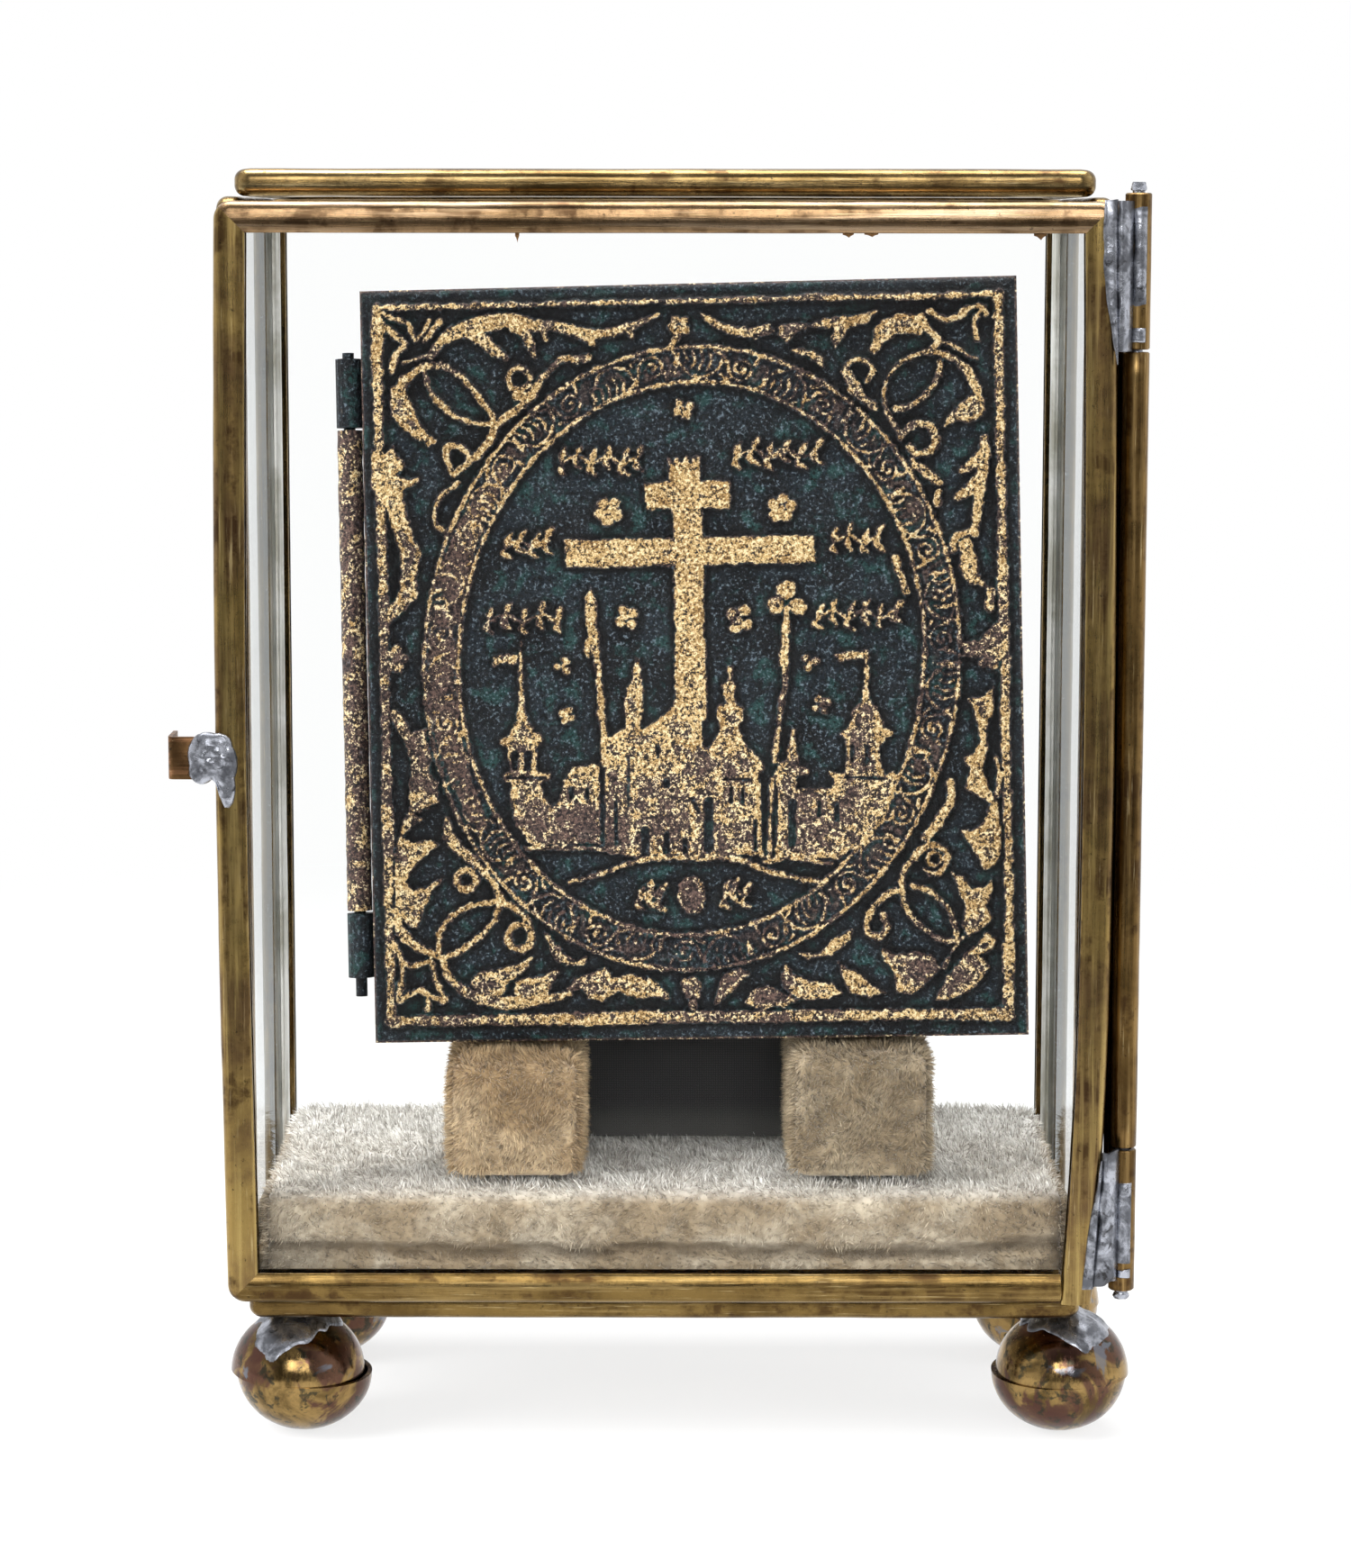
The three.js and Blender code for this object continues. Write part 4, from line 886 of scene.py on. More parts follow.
# Raised leaves: outlines
LEAVES = [
    ("top_left", [
        [(140, 350), (190, 320), (200, 375), (215, 400), (225, 440), (255, 485), (295, 530), (265, 546),
         (215, 515), (170, 480), (138, 440)],
        [(75, 540), (115, 575), (150, 540), (175, 580), (202, 612), (165, 640), (205, 655), (240, 642),
         (236, 668), (195, 690), (190, 730), (205, 785), (225, 850), (252, 905), (235, 960), (238, 1045),
         (190, 1095), (140, 1138), (128, 1085), (170, 1040), (178, 960), (172, 890), (150, 820), (125, 745),
         (110, 700), (75, 690)],
    ]),
    ("top_right", [
        [(75, 150), (110, 165), (160, 190), (230, 200), (300, 188), (312, 215), (250, 238), (180, 228),
         (120, 203), (85, 172)],
        [(322, 195), (370, 183), (430, 188), (480, 165), (560, 158), (640, 142), (605, 185), (545, 212),
         (520, 242), (502, 268), (488, 232), (500, 203), (430, 202), (385, 220), (350, 248), (325, 226)],
        [(618, 205), (655, 170), (720, 148), (775, 172), (792, 215), (760, 226), (705, 222), (662, 248),
         (625, 288), (608, 268), (622, 232)],
        [(960, 400), (978, 430), (972, 482), (930, 502), (890, 502), (843, 522), (850, 495), (890, 450),
         (930, 412)],
        [(738, 606), (790, 636), (852, 688), (842, 712), (790, 684), (745, 645)],
        [(884, 880), (935, 852), (952, 920), (962, 980), (1004, 1042), (975, 1026), (930, 1012), (895, 962),
         (902, 920)],
        [(905, 1200), (960, 1188), (1010, 1140), (1052, 1118), (1054, 1250), (905, 1250)],
        [(355, 272), (400, 266), (440, 272), (468, 298), (468, 334), (440, 312), (400, 290)],
    ]),
    ("foot_left", [
        [(95, 180), (130, 210), (150, 250), (195, 240), (205, 290), (218, 330), (205, 380), (238, 408),
         (232, 448), (242, 470), (200, 490), (168, 505), (192, 520), (160, 545), (130, 575), (165, 590),
         (210, 584), (238, 600), (205, 630), (165, 668), (142, 715), (165, 735), (205, 728), (265, 688),
         (228, 740), (198, 800), (178, 862), (135, 845), (108, 790), (98, 700), (103, 620), (123, 540),
         (145, 490), (145, 400), (150, 340), (125, 280), (100, 230), (80, 200)],
        [(560, 868), (590, 888), (622, 932), (660, 956), (698, 943), (692, 972), (650, 977), (600, 957),
         (573, 915)],
        [(330, 1035), (358, 990), (410, 985), (470, 970), (532, 943), (512, 987), (455, 1030), (440, 1064),
         (400, 1075)],
        [(468, 1062), (470, 1020), (500, 1008), (540, 1008), (612, 983), (592, 1030), (572, 1072),
         (520, 1088)],
        [(620, 1062), (660, 1010), (700, 998), (750, 978), (772, 1008), (830, 998), (900, 1018), (942, 1050),
         (962, 1092), (900, 1072), (850, 1078), (790, 1056), (742, 1088), (700, 1078), (680, 1046)],
    ]),
    ("foot_right", [
        [(800, 683), (842, 703), (872, 735), (910, 730), (932, 703), (942, 740), (922, 790), (936, 830),
         (900, 872), (860, 892), (838, 852), (850, 800), (828, 742)],
        [(828, 555), (870, 560), (905, 540), (925, 480), (888, 452), (848, 430), (858, 370), (838, 335),
         (870, 320), (890, 280), (885, 240), (868, 182), (848, 150), (900, 138), (936, 108), (932, 190),
         (912, 240), (916, 310), (906, 360), (922, 430), (952, 480), (962, 560), (962, 640), (930, 682),
         (900, 692), (888, 640), (860, 600)],
        [(765, 1085), (790, 1020), (840, 950), (890, 910), (915, 872), (952, 895), (936, 930), (902, 946),
         (930, 985), (900, 1030), (860, 1062), (800, 1086)],
        [(590, 920), (640, 940), (700, 935), (760, 950), (782, 990), (740, 1030), (690, 1072), (640, 1062),
         (635, 1010), (600, 960)],
        [(460, 963), (490, 985), (530, 1000), (570, 1040), (612, 1062), (560, 1078), (500, 1060),
         (470, 1010)],
        [(300, 963), (330, 1000), (380, 1020), (440, 1030), (482, 1062), (420, 1086), (340, 1080),
         (290, 1040), (288, 1000)],
        [(175, 1092), (190, 1050), (250, 1035), (300, 1060), (342, 1082), (300, 1106), (220, 1112)],
        [(90, 1050), (110, 1000), (160, 978), (202, 1000), (160, 1040), (110, 1090), (85, 1096)],
        [(330, 935), (400, 940), (440, 900), (490, 870), (517, 848), (502, 900), (440, 947), (370, 957)],
    ]),
    ("top_left", [
        [(800, 1003), (822, 1050), (830, 1092), (820, 1150), (815, 1175), (834, 1205), (818, 1234),
         (800, 1256), (784, 1234), (778, 1205), (795, 1178), (788, 1140), (780, 1095), (784, 1050)],
    ]),
]

# Rings with a hollow middle: the middle, the radius and the line's width
RINGS = [
    ("top_left", [((562, 322), 36, 24)]),
    ("foot_left", [((322, 708), 30, 28), ((487, 885), 37, 27)]),
    ("foot_right", [((755, 648), 22, 16)]),
]

# Rosettes: the middle, the radius and the number of petals
ROSETTES = [
    ("top_left", [((1083, 148), 40, 5), ((1100, 420), 40, 4), ((857, 760), 52, 5), ((922, 1113), 46, 4),
                  ((165, 1250), 48, 5)]),
    ("top_right", [((340, 772), 50, 5), ((210, 1125), 50, 4), ((1000, 1245), 44, 5)]),
    ("foot_left", [((625, 203), 30, 4), ((1016, 1040), 36, 5), ((612, 50), 34, 3)]),
    ("foot_right", [((405, 172), 34, 4), ((368, 40), 34, 3), ((18, 1050), 34, 5)]),
]

# The reed's head of three lobes, each with its middle and its radius
REED_LOBES = [("top_right", [((358, 1032), 33), ((327, 1082), 30), ((392, 1086), 30)])]

# Small leaf sprays that stand in the field's bare places: the middle and the width
SPRAYS = [
    ("top_left", [((828, 590), 250), ((590, 868), 135), ((582, 1115), 230)]),
    ("top_right", [((322, 600), 250), ((575, 872), 140), ((578, 1110), 245)]),
    ("foot_left", [((882, 757), 60)]),
    ("foot_right", [((143, 752), 60)]),
]

# The round boss: its middle, and its radii in millimetres
BOSS, BOSS_RADII = ("foot_left", [(1013, 758)]), (2.2, 2.9)


def add_band(relief):
    """The oval band: a thin ridge along each edge, with scrolls and hatched half leaves between."""
    def ring(inset, start=0, end=360, step=1.5):
        angles = np.radians(np.arange(start, end + step, step))
        skew = BAND_SKEW * np.sin(2 * angles)[:, None]
        return BAND_CENTRE + (BAND_RADII - inset + skew) * np.stack([np.cos(angles), np.sin(angles)], 1)

    middle = ring(BAND_WIDTH / 2)
    relief.stroke(middle, BAND_WIDTH - 0.3, 0.3, 0.4)
    relief.stroke(ring(BAND_WIDTH / 2, 138, 212), [2.5, BAND_WIDTH - 0.6, BAND_WIDTH - 0.6, 2.5], 0.55, 0.6)
    relief.stroke(ring(0.4), 0.85)
    relief.stroke(ring(BAND_WIDTH - 0.4), 0.85)
    lengths = np.concatenate([[0], np.cumsum(np.linalg.norm(np.diff(middle, axis=0), axis=1))])
    span = lengths[-1] / BAND_PERIODS

    def at(places):
        """Places on the band: how far along it, and outwards from its middle."""
        out = []
        for along, away in places:
            s = along % lengths[-1]
            p = np.array([np.interp(s, lengths, middle[:, 0]), np.interp(s, lengths, middle[:, 1])])
            normal = (p - BAND_CENTRE) / BAND_RADII**2
            out.append(p + normal / np.linalg.norm(normal) * away)
        return np.array(out)

    for k in range(BAND_PERIODS):
        side = 1 if k % 2 else -1
        start = k * span
        turns = np.linspace(0, 1, 22)
        spiral = [(start + 2.2 + 1.85 * (1.12 - t) * math.cos(3.4 * math.pi * t),
                   side * 1.75 * (1.12 - t) * math.sin(3.4 * math.pi * t)) for t in turns]
        relief.stroke(at(spiral), [0.62, 0.55, 0.8], 0.95)
        stem = [(start + 4.2, 0), (start + 4.9, -side * 1.3), (start + 6.4, -side * 2.1)]
        relief.stroke(curve(at(stem)), [0.6, 0.75, 0.45], 0.95)
        leaf = [(start + 4.7, -side * 2.0), (start + 5.6, side * 0.5), (start + 7.6, side * 1.8),
                (start + 9.7, side * 1.5), (start + 11.2, -side * 0.2), (start + 12.0, -side * 2.0)]
        relief.stroke(curve(at(leaf)), [0.6, 0.7, 0.6], 0.95)
        for step in range(4):
            foot = start + 6.6 + 1.15 * step
            line = [(foot + 0.5, -side * 2.0), (foot + 0.1, -side * 0.6),
                    (foot + 0.6, side * (0.95 - 0.3 * step))]
            relief.stroke(curve(at(line)), [0.7, 0.6, 0.45], 0.9)
        lobe = [(start + 10.9, -side * 2.0), (start + 11.9, -side * 1.9), (start + 12.2, -side * 0.4),
                (start + 11.8, side * 1.1), (start + 11.2, side * 0.4)]
        relief.fill(at(lobe), 0.9, 0.95)
        relief.stroke(at([(start + 0.2, -side * 1.9), (start + 0.5, -side * 0.9)]), 0.8, 0.85)
        relief.stroke(at([(start + 3.9, side * 1.9), (start + 5.0, side * 1.3)]), 0.7, 0.85)


def unit_of(view):
    """A view's unit, in millimetres on the leaf's face."""
    return VIEWS[view][2] / LEAF_PIXELS


def each(groups):
    """The entries of a table that is grouped by view, each with its view's name in front."""
    for view, entries in groups:
        for entry in entries:
            yield (view, *entry) if isinstance(entry, tuple) else (view, entry)


def add_rosette(relief, view, middle, radius, petals):
    centre = seen(view, [middle])[0]
    size = radius * unit_of(view)
    turn = (middle[0] * 0.013 + middle[1] * 0.007) % 1.2
    for k in range(petals):
        angle = turn + k * 2 * math.pi / petals
        relief.dot(centre + size * 0.55 * np.array([math.cos(angle), math.sin(angle)]), size * 0.44)
    relief.dot(centre, size * 0.32)


def add_spray(relief, view, middle, width):
    """A short wavy stalk with a pair of leaves, one longer than the other, at each bend and at each end."""
    rng = np.random.default_rng(int(middle[0]) + int(width))
    x, y = middle
    count = max(2, round(width / 52))
    edges = np.linspace(-width / 2, width / 2, count + 1)
    stem = [(x + e, y + 13 * (-1) ** k) for k, e in enumerate(edges)]
    size = unit_of(view)
    relief.stroke(curve(seen(view, stem)), 17 * size, 1.0, 0.95)
    for k, (px, py) in enumerate(stem):
        way = -1 if k % 2 else 1
        tall, lean = rng.uniform(38, 52), rng.uniform(6, 22)
        for sign in (1, -1):
            reach = tall if sign == way else tall * 0.72
            leaf = [(px, py), (px + lean * sign * 0.4, py - sign * reach * 0.55),
                    (px + lean, py - sign * reach)]
            relief.stroke(curve(seen(view, leaf)), [14 * size, 30 * size, 15 * size], 1.0, 0.95)


def add_border(relief):
    left, right, foot, top = BORDER_LINE
    sides = [((left, top), (right, top), 1.1), ((left, foot), (left, top), 1.75),
             ((right, foot), (right, top), 1.7), ((left, foot), (right, foot), 2.0)]
    for a, b, width in sides:
        steps = np.linspace(0, 1, 14)[:, None]
        line = np.array(a) * (1 - steps) + np.array(b) * steps
        line = line + value_noise(line, 9, 21)[:, None] * 0.16
        relief.stroke(line, width * (1 + 0.18 * value_noise(line, 11, 23)), 1.0, 0.9)


def oval(centre, across, up, count):
    angles = np.linspace(0, 2 * math.pi, count)
    return [(centre[0] + across * math.cos(t), centre[1] + up * math.sin(t)) for t in angles]


def make_relief():
    relief = Relief()
    add_border(relief)
    add_band(relief)
    for view, points in each(TOWN):
        relief.fill(seen(view, points), 0.75, 1.0, 0.76)
    for view, points, width in each(SLOTS):
        relief.sink(seen(view, points), width * unit_of(view), 0.75)
    relief.fill(share_line(CROSS_SHARES), 1.0, 1.0, 0.95)
    for view, points in each(LEAVES):
        relief.fill(seen(view, points), 1.0, 1.0, 0.8)
    for view, points, widths in each(LINES):
        relief.stroke(curve(seen(view, points)), np.multiply(widths, unit_of(view)))
    for view, middle, radius, width in each(RINGS):
        relief.stroke(seen(view, oval(middle, radius, radius, 20)), width * unit_of(view))
    for rosette in each(ROSETTES):
        add_rosette(relief, *rosette)
    for view, middle, radius in each(REED_LOBES):
        relief.dot(seen(view, [middle])[0], radius * unit_of(view))
    for spray in each(SPRAYS):
        add_spray(relief, *spray)
    relief.fill(oval(seen(*BOSS)[0], *BOSS_RADII, 25), 0.9, 0.9, 0.62)
    return relief


def softened(values, reach):
    """The values, each averaged with its neighbours up to reach cells away."""
    for axis in (0, 1):
        padded = np.insert(np.cumsum(values, axis=axis), 0, 0, axis=axis)
        size = values.shape[axis]
        high = np.minimum(np.arange(size) + reach + 1, size)
        low = np.maximum(np.arange(size) - reach, 0)
        spread = (high - low).reshape((-1, 1) if axis == 0 else (1, -1))
        values = (np.take(padded, high, axis) - np.take(padded, low, axis)) / spread
    return values


# Where the gilding has worn: shares of the leaf's width and height, reach in millimetres, and how much
WORN_PLACES = [
    (0.95, 0.52, 9, 0.4), (0.8, 0.83, 12, 0.25), (0.08, 0.88, 10, 0.25), (0.32, 0.93, 9, 0.2),
    (0.9, 0.08, 9, 0.25), (0.55, 0.05, 12, 0.2), (0.3, 0.08, 8, 0.15), (0.06, 0.3, 10, 0.15),
    (0.28, 0.25, 9, 0.18), (0.7, 0.25, 8, 0.12),
]


def leaf_axes():
    """The icon's own directions at rest: across its face, up it and out of it."""
    joint = next(j for j in frame["joints"] if j["name"] == "icon_leaf_hinge")
    up = -Vector(joint["axis"]).normalized()
    flats = frame["nodes"]["icon_rear_leaf"].data.polygons
    normal = max(flats, key=lambda p: p.area).normal.copy()
    out = normal if normal.y < 0 else -normal
    out = (out - up * out.dot(up)).normalized()
    return up.cross(out).normalized(), up, out


def in_leaf_axes(node, axes):
    co = places_of(frame["nodes"][node])
    return np.stack([co @ np.array(axis) for axis in axes], 1)


def build_leaf():
    axes = across, up, out = leaf_axes()
    places = in_leaf_axes("icon_front_leaf", axes)
    edge_rows = places[places[:, 1] > places[:, 1].max() - MM]
    left = edge_rows[:, 0].min()
    foot = places[places[:, 0] > left + 5 * MM][:, 1].min()
    face = places[:, 2].max() - RELIEF_HEIGHT * MM
    middle = left + LEAF_WIDTH / 2 * MM

    relief = make_relief()
    u, v = relief.grid_u, relief.grid_v
    rows, columns = relief.height.shape
    raised = np.clip(relief.height / 0.45, 0, 1)
    shade = smoothstep(0.02, 0.3, softened(softened(raised, 3), 3)) * (1 - raised)
    sides = np.minimum(u + LEAF_WIDTH / 2, LEAF_WIDTH / 2 - u)
    ends = np.minimum(v, LEAF_HEIGHT - v)
    rim = np.minimum(sides, ends)
    scratches = np.where(sides < ends, relief.noise(0.5, 9, (1, 0.04)), relief.noise(0.5, 10, (0.04, 1)))
    height = relief.height * (RELIEF_HEIGHT - 0.14 + 0.08 * relief.grain)
    height = height + 0.06 * relief.grain * (1 + relief.height) + 0.07 * relief.swell
    height = height + 0.07 * scratches * (1 - smoothstep(1.2, 2.2, rim))
    height = np.minimum(height - 0.45 * (1 - smoothstep(0, 0.75, rim)) ** 2, RELIEF_HEIGHT)
    zone = 0.97 + 0.2 * relief.noise(15, 13) + 0.16 * relief.noise(4, 14)
    for worn_u, worn_v, reach, loss in WORN_PLACES:
        spot = share_point(worn_u, worn_v)
        zone -= loss * np.exp(-((np.hypot(u - spot[0], v - spot[1]) / reach) ** 2))
    rubbed = smoothstep(0.12, 0.45, raised - softened(softened(raised, 2), 2)) * raised
    gilt = relief.gilt * np.clip(zone, 0.4, 1.06)
    gilt = np.maximum(gilt, rubbed * relief.gilt * np.clip(zone + 0.22, 0.5, 1))
    # Painted shade: the gilding drops out in the hollows between raised strokes, so that they render dark.
    hollow = softened(softened(relief.height, 2), 2) - relief.height
    gilt *= 1 - 0.9 * smoothstep(0.03, 0.2, hollow)
    worn = 0.5 + 0.1 * relief.noise(6, 12) + 0.16 * ((v < 1.5) | (u > LEAF_WIDTH / 2 - 1.5))
    gilt = np.maximum(gilt, worn * (1 - smoothstep(0.1, 0.5, rim)))

    origin = across * middle + up * foot + out * face
    grid = np.stack([u.ravel(), v.ravel(), height.ravel()], 1) * MM
    verts = np.array(origin) + grid @ np.array(axes)
    cut = rows // 2
    for name, first, last in (("icon_relief_foot", 0, cut), ("icon_relief_top", cut, rows - 1)):
        piece = verts[first * columns:(last + 1) * columns]
        part = new_object(name, piece, grid_faces(last - first + 1, columns))
        store(part, "gilt", gilt[first:last + 1])
        store(part, "shade", shade[first:last + 1])
        place(part, "icon_leaf", GILT_BRONZE, "icon_bronze")
    build_leaf_back(origin, axes, grid.reshape(rows, columns, 3))
    build_knuckle(axes, left)


def build_leaf_back(origin, axes, grid):
    """The leaf's narrow sides and its inner face, with the plain sunk field."""
    front = np.concatenate([grid[0], grid[1:, -1], grid[-1, -2::-1], grid[-2:0:-1, 0]])
    half = np.array([LEAF_WIDTH, LEAF_HEIGHT]) / 2 * MM
    u, v = (front[:, :2] - [0, half[1]]).T

    def ring(depth, shrink=(1, 1), border=None):
        x, y = u * shrink[0], v * shrink[1]
        if border:
            x, y = (np.clip(w, border * MM - h, h - border * MM) for w, h in zip((x, y), half))
        return np.stack([x, y + half[1], np.full(len(x), -depth * MM)], 1)

    rings = [front, front - [0, 0, 0.35 * MM], ring(LEAF_THICKNESS - BACK_EDGE),
             ring(LEAF_THICKNESS, BACK_TAPER), ring(LEAF_THICKNESS, border=INSIDE_BORDER),
             ring(LEAF_THICKNESS - INSIDE_RECESS, border=INSIDE_BORDER + INSIDE_SLOPE)]
    count = len(front)
    faces = grid_faces(len(rings), count, close_columns=True)
    rows, columns = grid.shape[:2]
    corners = [0, columns - 1, columns + rows - 2, 2 * columns + rows - 3]
    faces.append([(len(rings) - 1) * count + k for k in corners])
    wall = np.array(origin) + np.vstack(rings) @ np.array(axes)
    obj = new_object("icon_leaf_back", wall, [f[::-1] for f in faces], sharp_degrees=50)
    store(obj, "gilt", np.where(np.arange(len(wall)) < count, 0.55, 0.3))
    store(obj, "shade", np.zeros(len(wall)))
    place(obj, "icon_leaf", GILT_BRONZE, "icon_bronze", "icon_front_leaf")


def build_knuckle(axes, left):
    """The front leaf's long cast knuckle, round the hinge's pin."""
    pin, front = (in_leaf_axes(node, axes) for node in ("icon_pin", "icon_front_leaf"))
    centre = (pin.min(0) + pin.max(0)) / 2
    tube = front[front[:, 0] < left - MM]
    radius = centre[0] - front[:, 0].min()
    rings, segments = 61, 28
    spokes = np.array([(cos, 0, sin) for cos, sin in circle(segments)])
    spokes *= radius * (1 - 0.1 * abs(spokes[:, 0] * spokes[:, 2]))[:, None]
    middles = [(centre[0], v, centre[2]) for v in np.linspace(tube[:, 1].min(), tube[:, 1].max(), rings)]
    middles = np.repeat(middles, segments, axis=0) @ np.array(axes)
    spokes = np.tile(spokes, (rings, 1)) @ np.array(axes)
    verts = middles + spokes
    bump = value_noise(verts, 1.3 * MM, 31) * 0.05 + value_noise(verts, 0.6 * MM, 32) * 0.03
    verts = middles + spokes * (0.97 + np.minimum(bump, 0.03))[:, None]
    faces = [f[::-1] for f in capped_tube(rings, segments)]
    knuckle = new_object("icon_long_knuckle", verts, faces, sharp_degrees=60)
    store(knuckle, "gilt", 0.62 + 0.35 * value_noise(verts, 1.1 * MM, 33))
    place(knuckle, "icon_leaf", GILT_BRONZE, "icon_bronze")


# Velvet

def crease_line(co, crease):
    """The height of the wavy fold across the front of the base."""
    across = co * [1, 0, 0]
    return crease + value_noise(across, 14 * MM, 142) * 0.9 * MM + value_noise(across, 4 * MM, 143) * 0.4 * MM


def soft_block(name, node, crown, seed, crease=None, rise=0):
    """A padded, cloth-covered slab in its CAD node's box."""
    lo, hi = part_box(node)
    lo = lo + Vector((PILE_ROOM, PILE_ROOM, 0))
    hi = hi - Vector((PILE_ROOM, PILE_ROOM, PILE_ROOM))
    centre, half = (lo + hi) / 2, (hi - lo) / 2
    counts = [max(4, round(2 * h / PAD_STEP)) for h in half]
    index, spots, faces = {}, [], []

    def vertex(key):
        if key not in index:
            index[key] = len(spots)
            spots.append([2 * key[a] / counts[a] - 1 for a in range(3)])
        return index[key]

    for axis in range(3):
        b, c = (axis + 1) % 3, (axis + 2) % 3
        for end in (0, counts[axis]):
            for i in range(counts[b]):
                for j in range(counts[c]):
                    quad = []
                    for di, dj in ((0, 0), (1, 0), (1, 1), (0, 1)):
                        key = [0, 0, 0]
                        key[axis], key[b], key[c] = end, i + di, j + dj
                        quad.append(vertex(tuple(key)))
                    faces.append(quad if end else quad[::-1])
    spots, size = np.array(spots), np.array(half)
    r = min(1.9 * MM, size.min() * 0.6)
    inner = np.clip(spots * size, -(size - r), size - r)
    away = spots * size - inner
    length = np.maximum(np.linalg.norm(away, axis=1, keepdims=True), 1e-12)
    co = inner + away / length * np.where(length > r * 0.2, r, np.minimum(length, r))
    top = smoothstep(0.2, 1.0, spots[:, 2])
    dome = (1 - spots[:, 0] ** 4) * (1 - spots[:, 1] ** 4)
    co[:, 2] += top * (dome - 1) * crown
    co += np.array(centre)
    co[:, 2] += top * (value_noise(co, 7 * MM, seed) * 0.25 * MM + smoothstep(0, 0.9, spots[:, 1]) * rise)
    groove = 0
    if crease is not None:
        front = smoothstep(-0.6, -1.0, spots[:, 1])
        above = co[:, 2] - crease_line(co, crease)
        groove = front * np.exp(-((above / (0.7 * MM)) ** 2))
        lip = front * np.exp(-(((above - 1.6 * MM) / (1.2 * MM)) ** 2))
        co[:, 1] += groove * 2.2 * MM - lip * 0.35 * MM
        co[:, 1] += front * (value_noise(co, 4 * MM, seed + 2) * 0.22 * MM + 0.2 * MM)
    obj = new_object(name, co, faces)
    # Painted shade: the pad under the pile is darker than the pile's tips, and darker still along the crease,
    # where shadow falls.
    store(obj, "tip", np.maximum(0.35 + 0.1 * value_noise(co, 0.8 * MM, seed + 3) - 0.45 * groove, 0))
    return obj


def add_pile(name, base, count, length, lean, seed, crease=None):
    """Cut fibres standing on a padded block: thin blades, leaning with the nap."""
    rng = np.random.default_rng(seed)
    base.data.calc_loop_triangles()
    tri = np.array([t.vertices[:] for t in base.data.loop_triangles])
    co = places_of(base)
    a, b, c = (co[tri[:, k]] for k in range(3))
    normal = np.cross(b - a, c - a)
    area = np.linalg.norm(normal, axis=1)
    normal /= np.maximum(area, 1e-18)[:, None]
    weight = area * np.where(normal[:, 2] < -0.5, 0, 1)
    pick = rng.choice(len(tri), count, p=weight / weight.sum())
    s, t = rng.random(count), rng.random(count)
    over = s + t > 1
    s, t = np.where(over, 1 - s, s), np.where(over, 1 - t, t)
    root = a[pick] + (b - a)[pick] * s[:, None] + (c - a)[pick] * t[:, None]
    n = normal[pick]
    clump = np.stack([value_noise(root, 2.6 * MM, seed + k) for k in (1, 2, 3)], 1)
    way = n + np.array(lean) * 0.55 + clump * 0.75 + rng.normal(0, 0.28, (count, 3))
    way = unit(way - n * np.minimum((way * n).sum(1), 0)[:, None] * 1.6)
    reach = length * rng.uniform(0.55, 1.0, count)[:, None]
    bend = unit(way * 0.75 + np.array(lean) * 0.3 + clump * 0.2)
    side = unit(np.cross(way, rng.normal(0, 1, (count, 3))))
    wide = side * 0.075 * MM * rng.uniform(0.7, 1.3, count)[:, None]
    tone = rng.uniform(0.25, 1.15, count)
    if crease is not None:
        fold = np.exp(-(((root[:, 2] - crease_line(root, crease)) / (0.95 * MM)) ** 2))
        fold *= root[:, 1] < co[:, 1].min() + 4 * MM
        reach = reach * (1 - 0.7 * fold[:, None])
        # Painted shadow: blades in the crease are darker.
        tone *= 1 - 0.97 * fold
    root = root - n * 0.25 * MM
    mid = root + way * reach * 0.6
    blade = [root - wide, root + wide, mid + wide * 0.8, mid - wide * 0.8, mid + bend * reach * 0.5]
    start = np.arange(count) * 5
    quads = np.stack([start, start + 1, start + 2, start + 3], 1).tolist()
    tris = np.stack([start + 3, start + 2, start + 4], 1).tolist()
    pile = new_object(name, np.stack(blade, 1).reshape(-1, 3), quads + tris)
    # Painted shade along each blade: dark at its root, pale at its tip.
    store(pile, "tip", np.tile([0.05, 0.05, 0.6, 0.6, 1.0], count) * tone.repeat(5))
    return pile


# Round parts

def lathe(name, profile, centre, segments, seed, tilt=None):
    """Turns a closed profile of (radius, height) points about an upright axis, a little out of
    round. tilt is a turn about X, one about Y and the height that they pivot on."""
    verts = np.array([(r * cos, r * sin, z) for r, z in profile for cos, sin in circle(segments)])
    verts[:, :2] *= 1 + value_noise(verts, 5 * MM, seed)[:, None] * OUT_OF_ROUND
    if tilt:
        turn = np.array(Matrix.Rotation(tilt[0], 3, "X") @ Matrix.Rotation(tilt[1], 3, "Y"))
        pivot = np.array([0, 0, tilt[2]])
        verts = (verts - pivot) @ turn.T + pivot
    faces = grid_faces(len(profile), segments, close_rows=True, close_columns=True)
    return new_object(name, verts + np.array(centre), [f[::-1] for f in faces], sharp_degrees=45)


def hinge_tube(node, body, seed):
    lo, hi, x, y, r = round_box(node)
    bore, bevel = 1.15 * MM, 0.18 * MM
    steps = max(6, round((hi.z - lo.z) / (3 * MM)))
    profile = [(bore, lo.z), (r - bevel, lo.z), (r, lo.z + bevel)]
    profile += [(r, lo.z + bevel + (hi.z - lo.z - 2 * bevel) * k / steps) for k in range(1, steps)]
    profile += [(r, hi.z - bevel), (r - bevel, hi.z), (bore, hi.z)]
    tube = lathe("tube_" + node, profile, (x, y, 0), 40, seed)
    return place(tube, body, TUBE_BRASS, "hinge_tube", node)


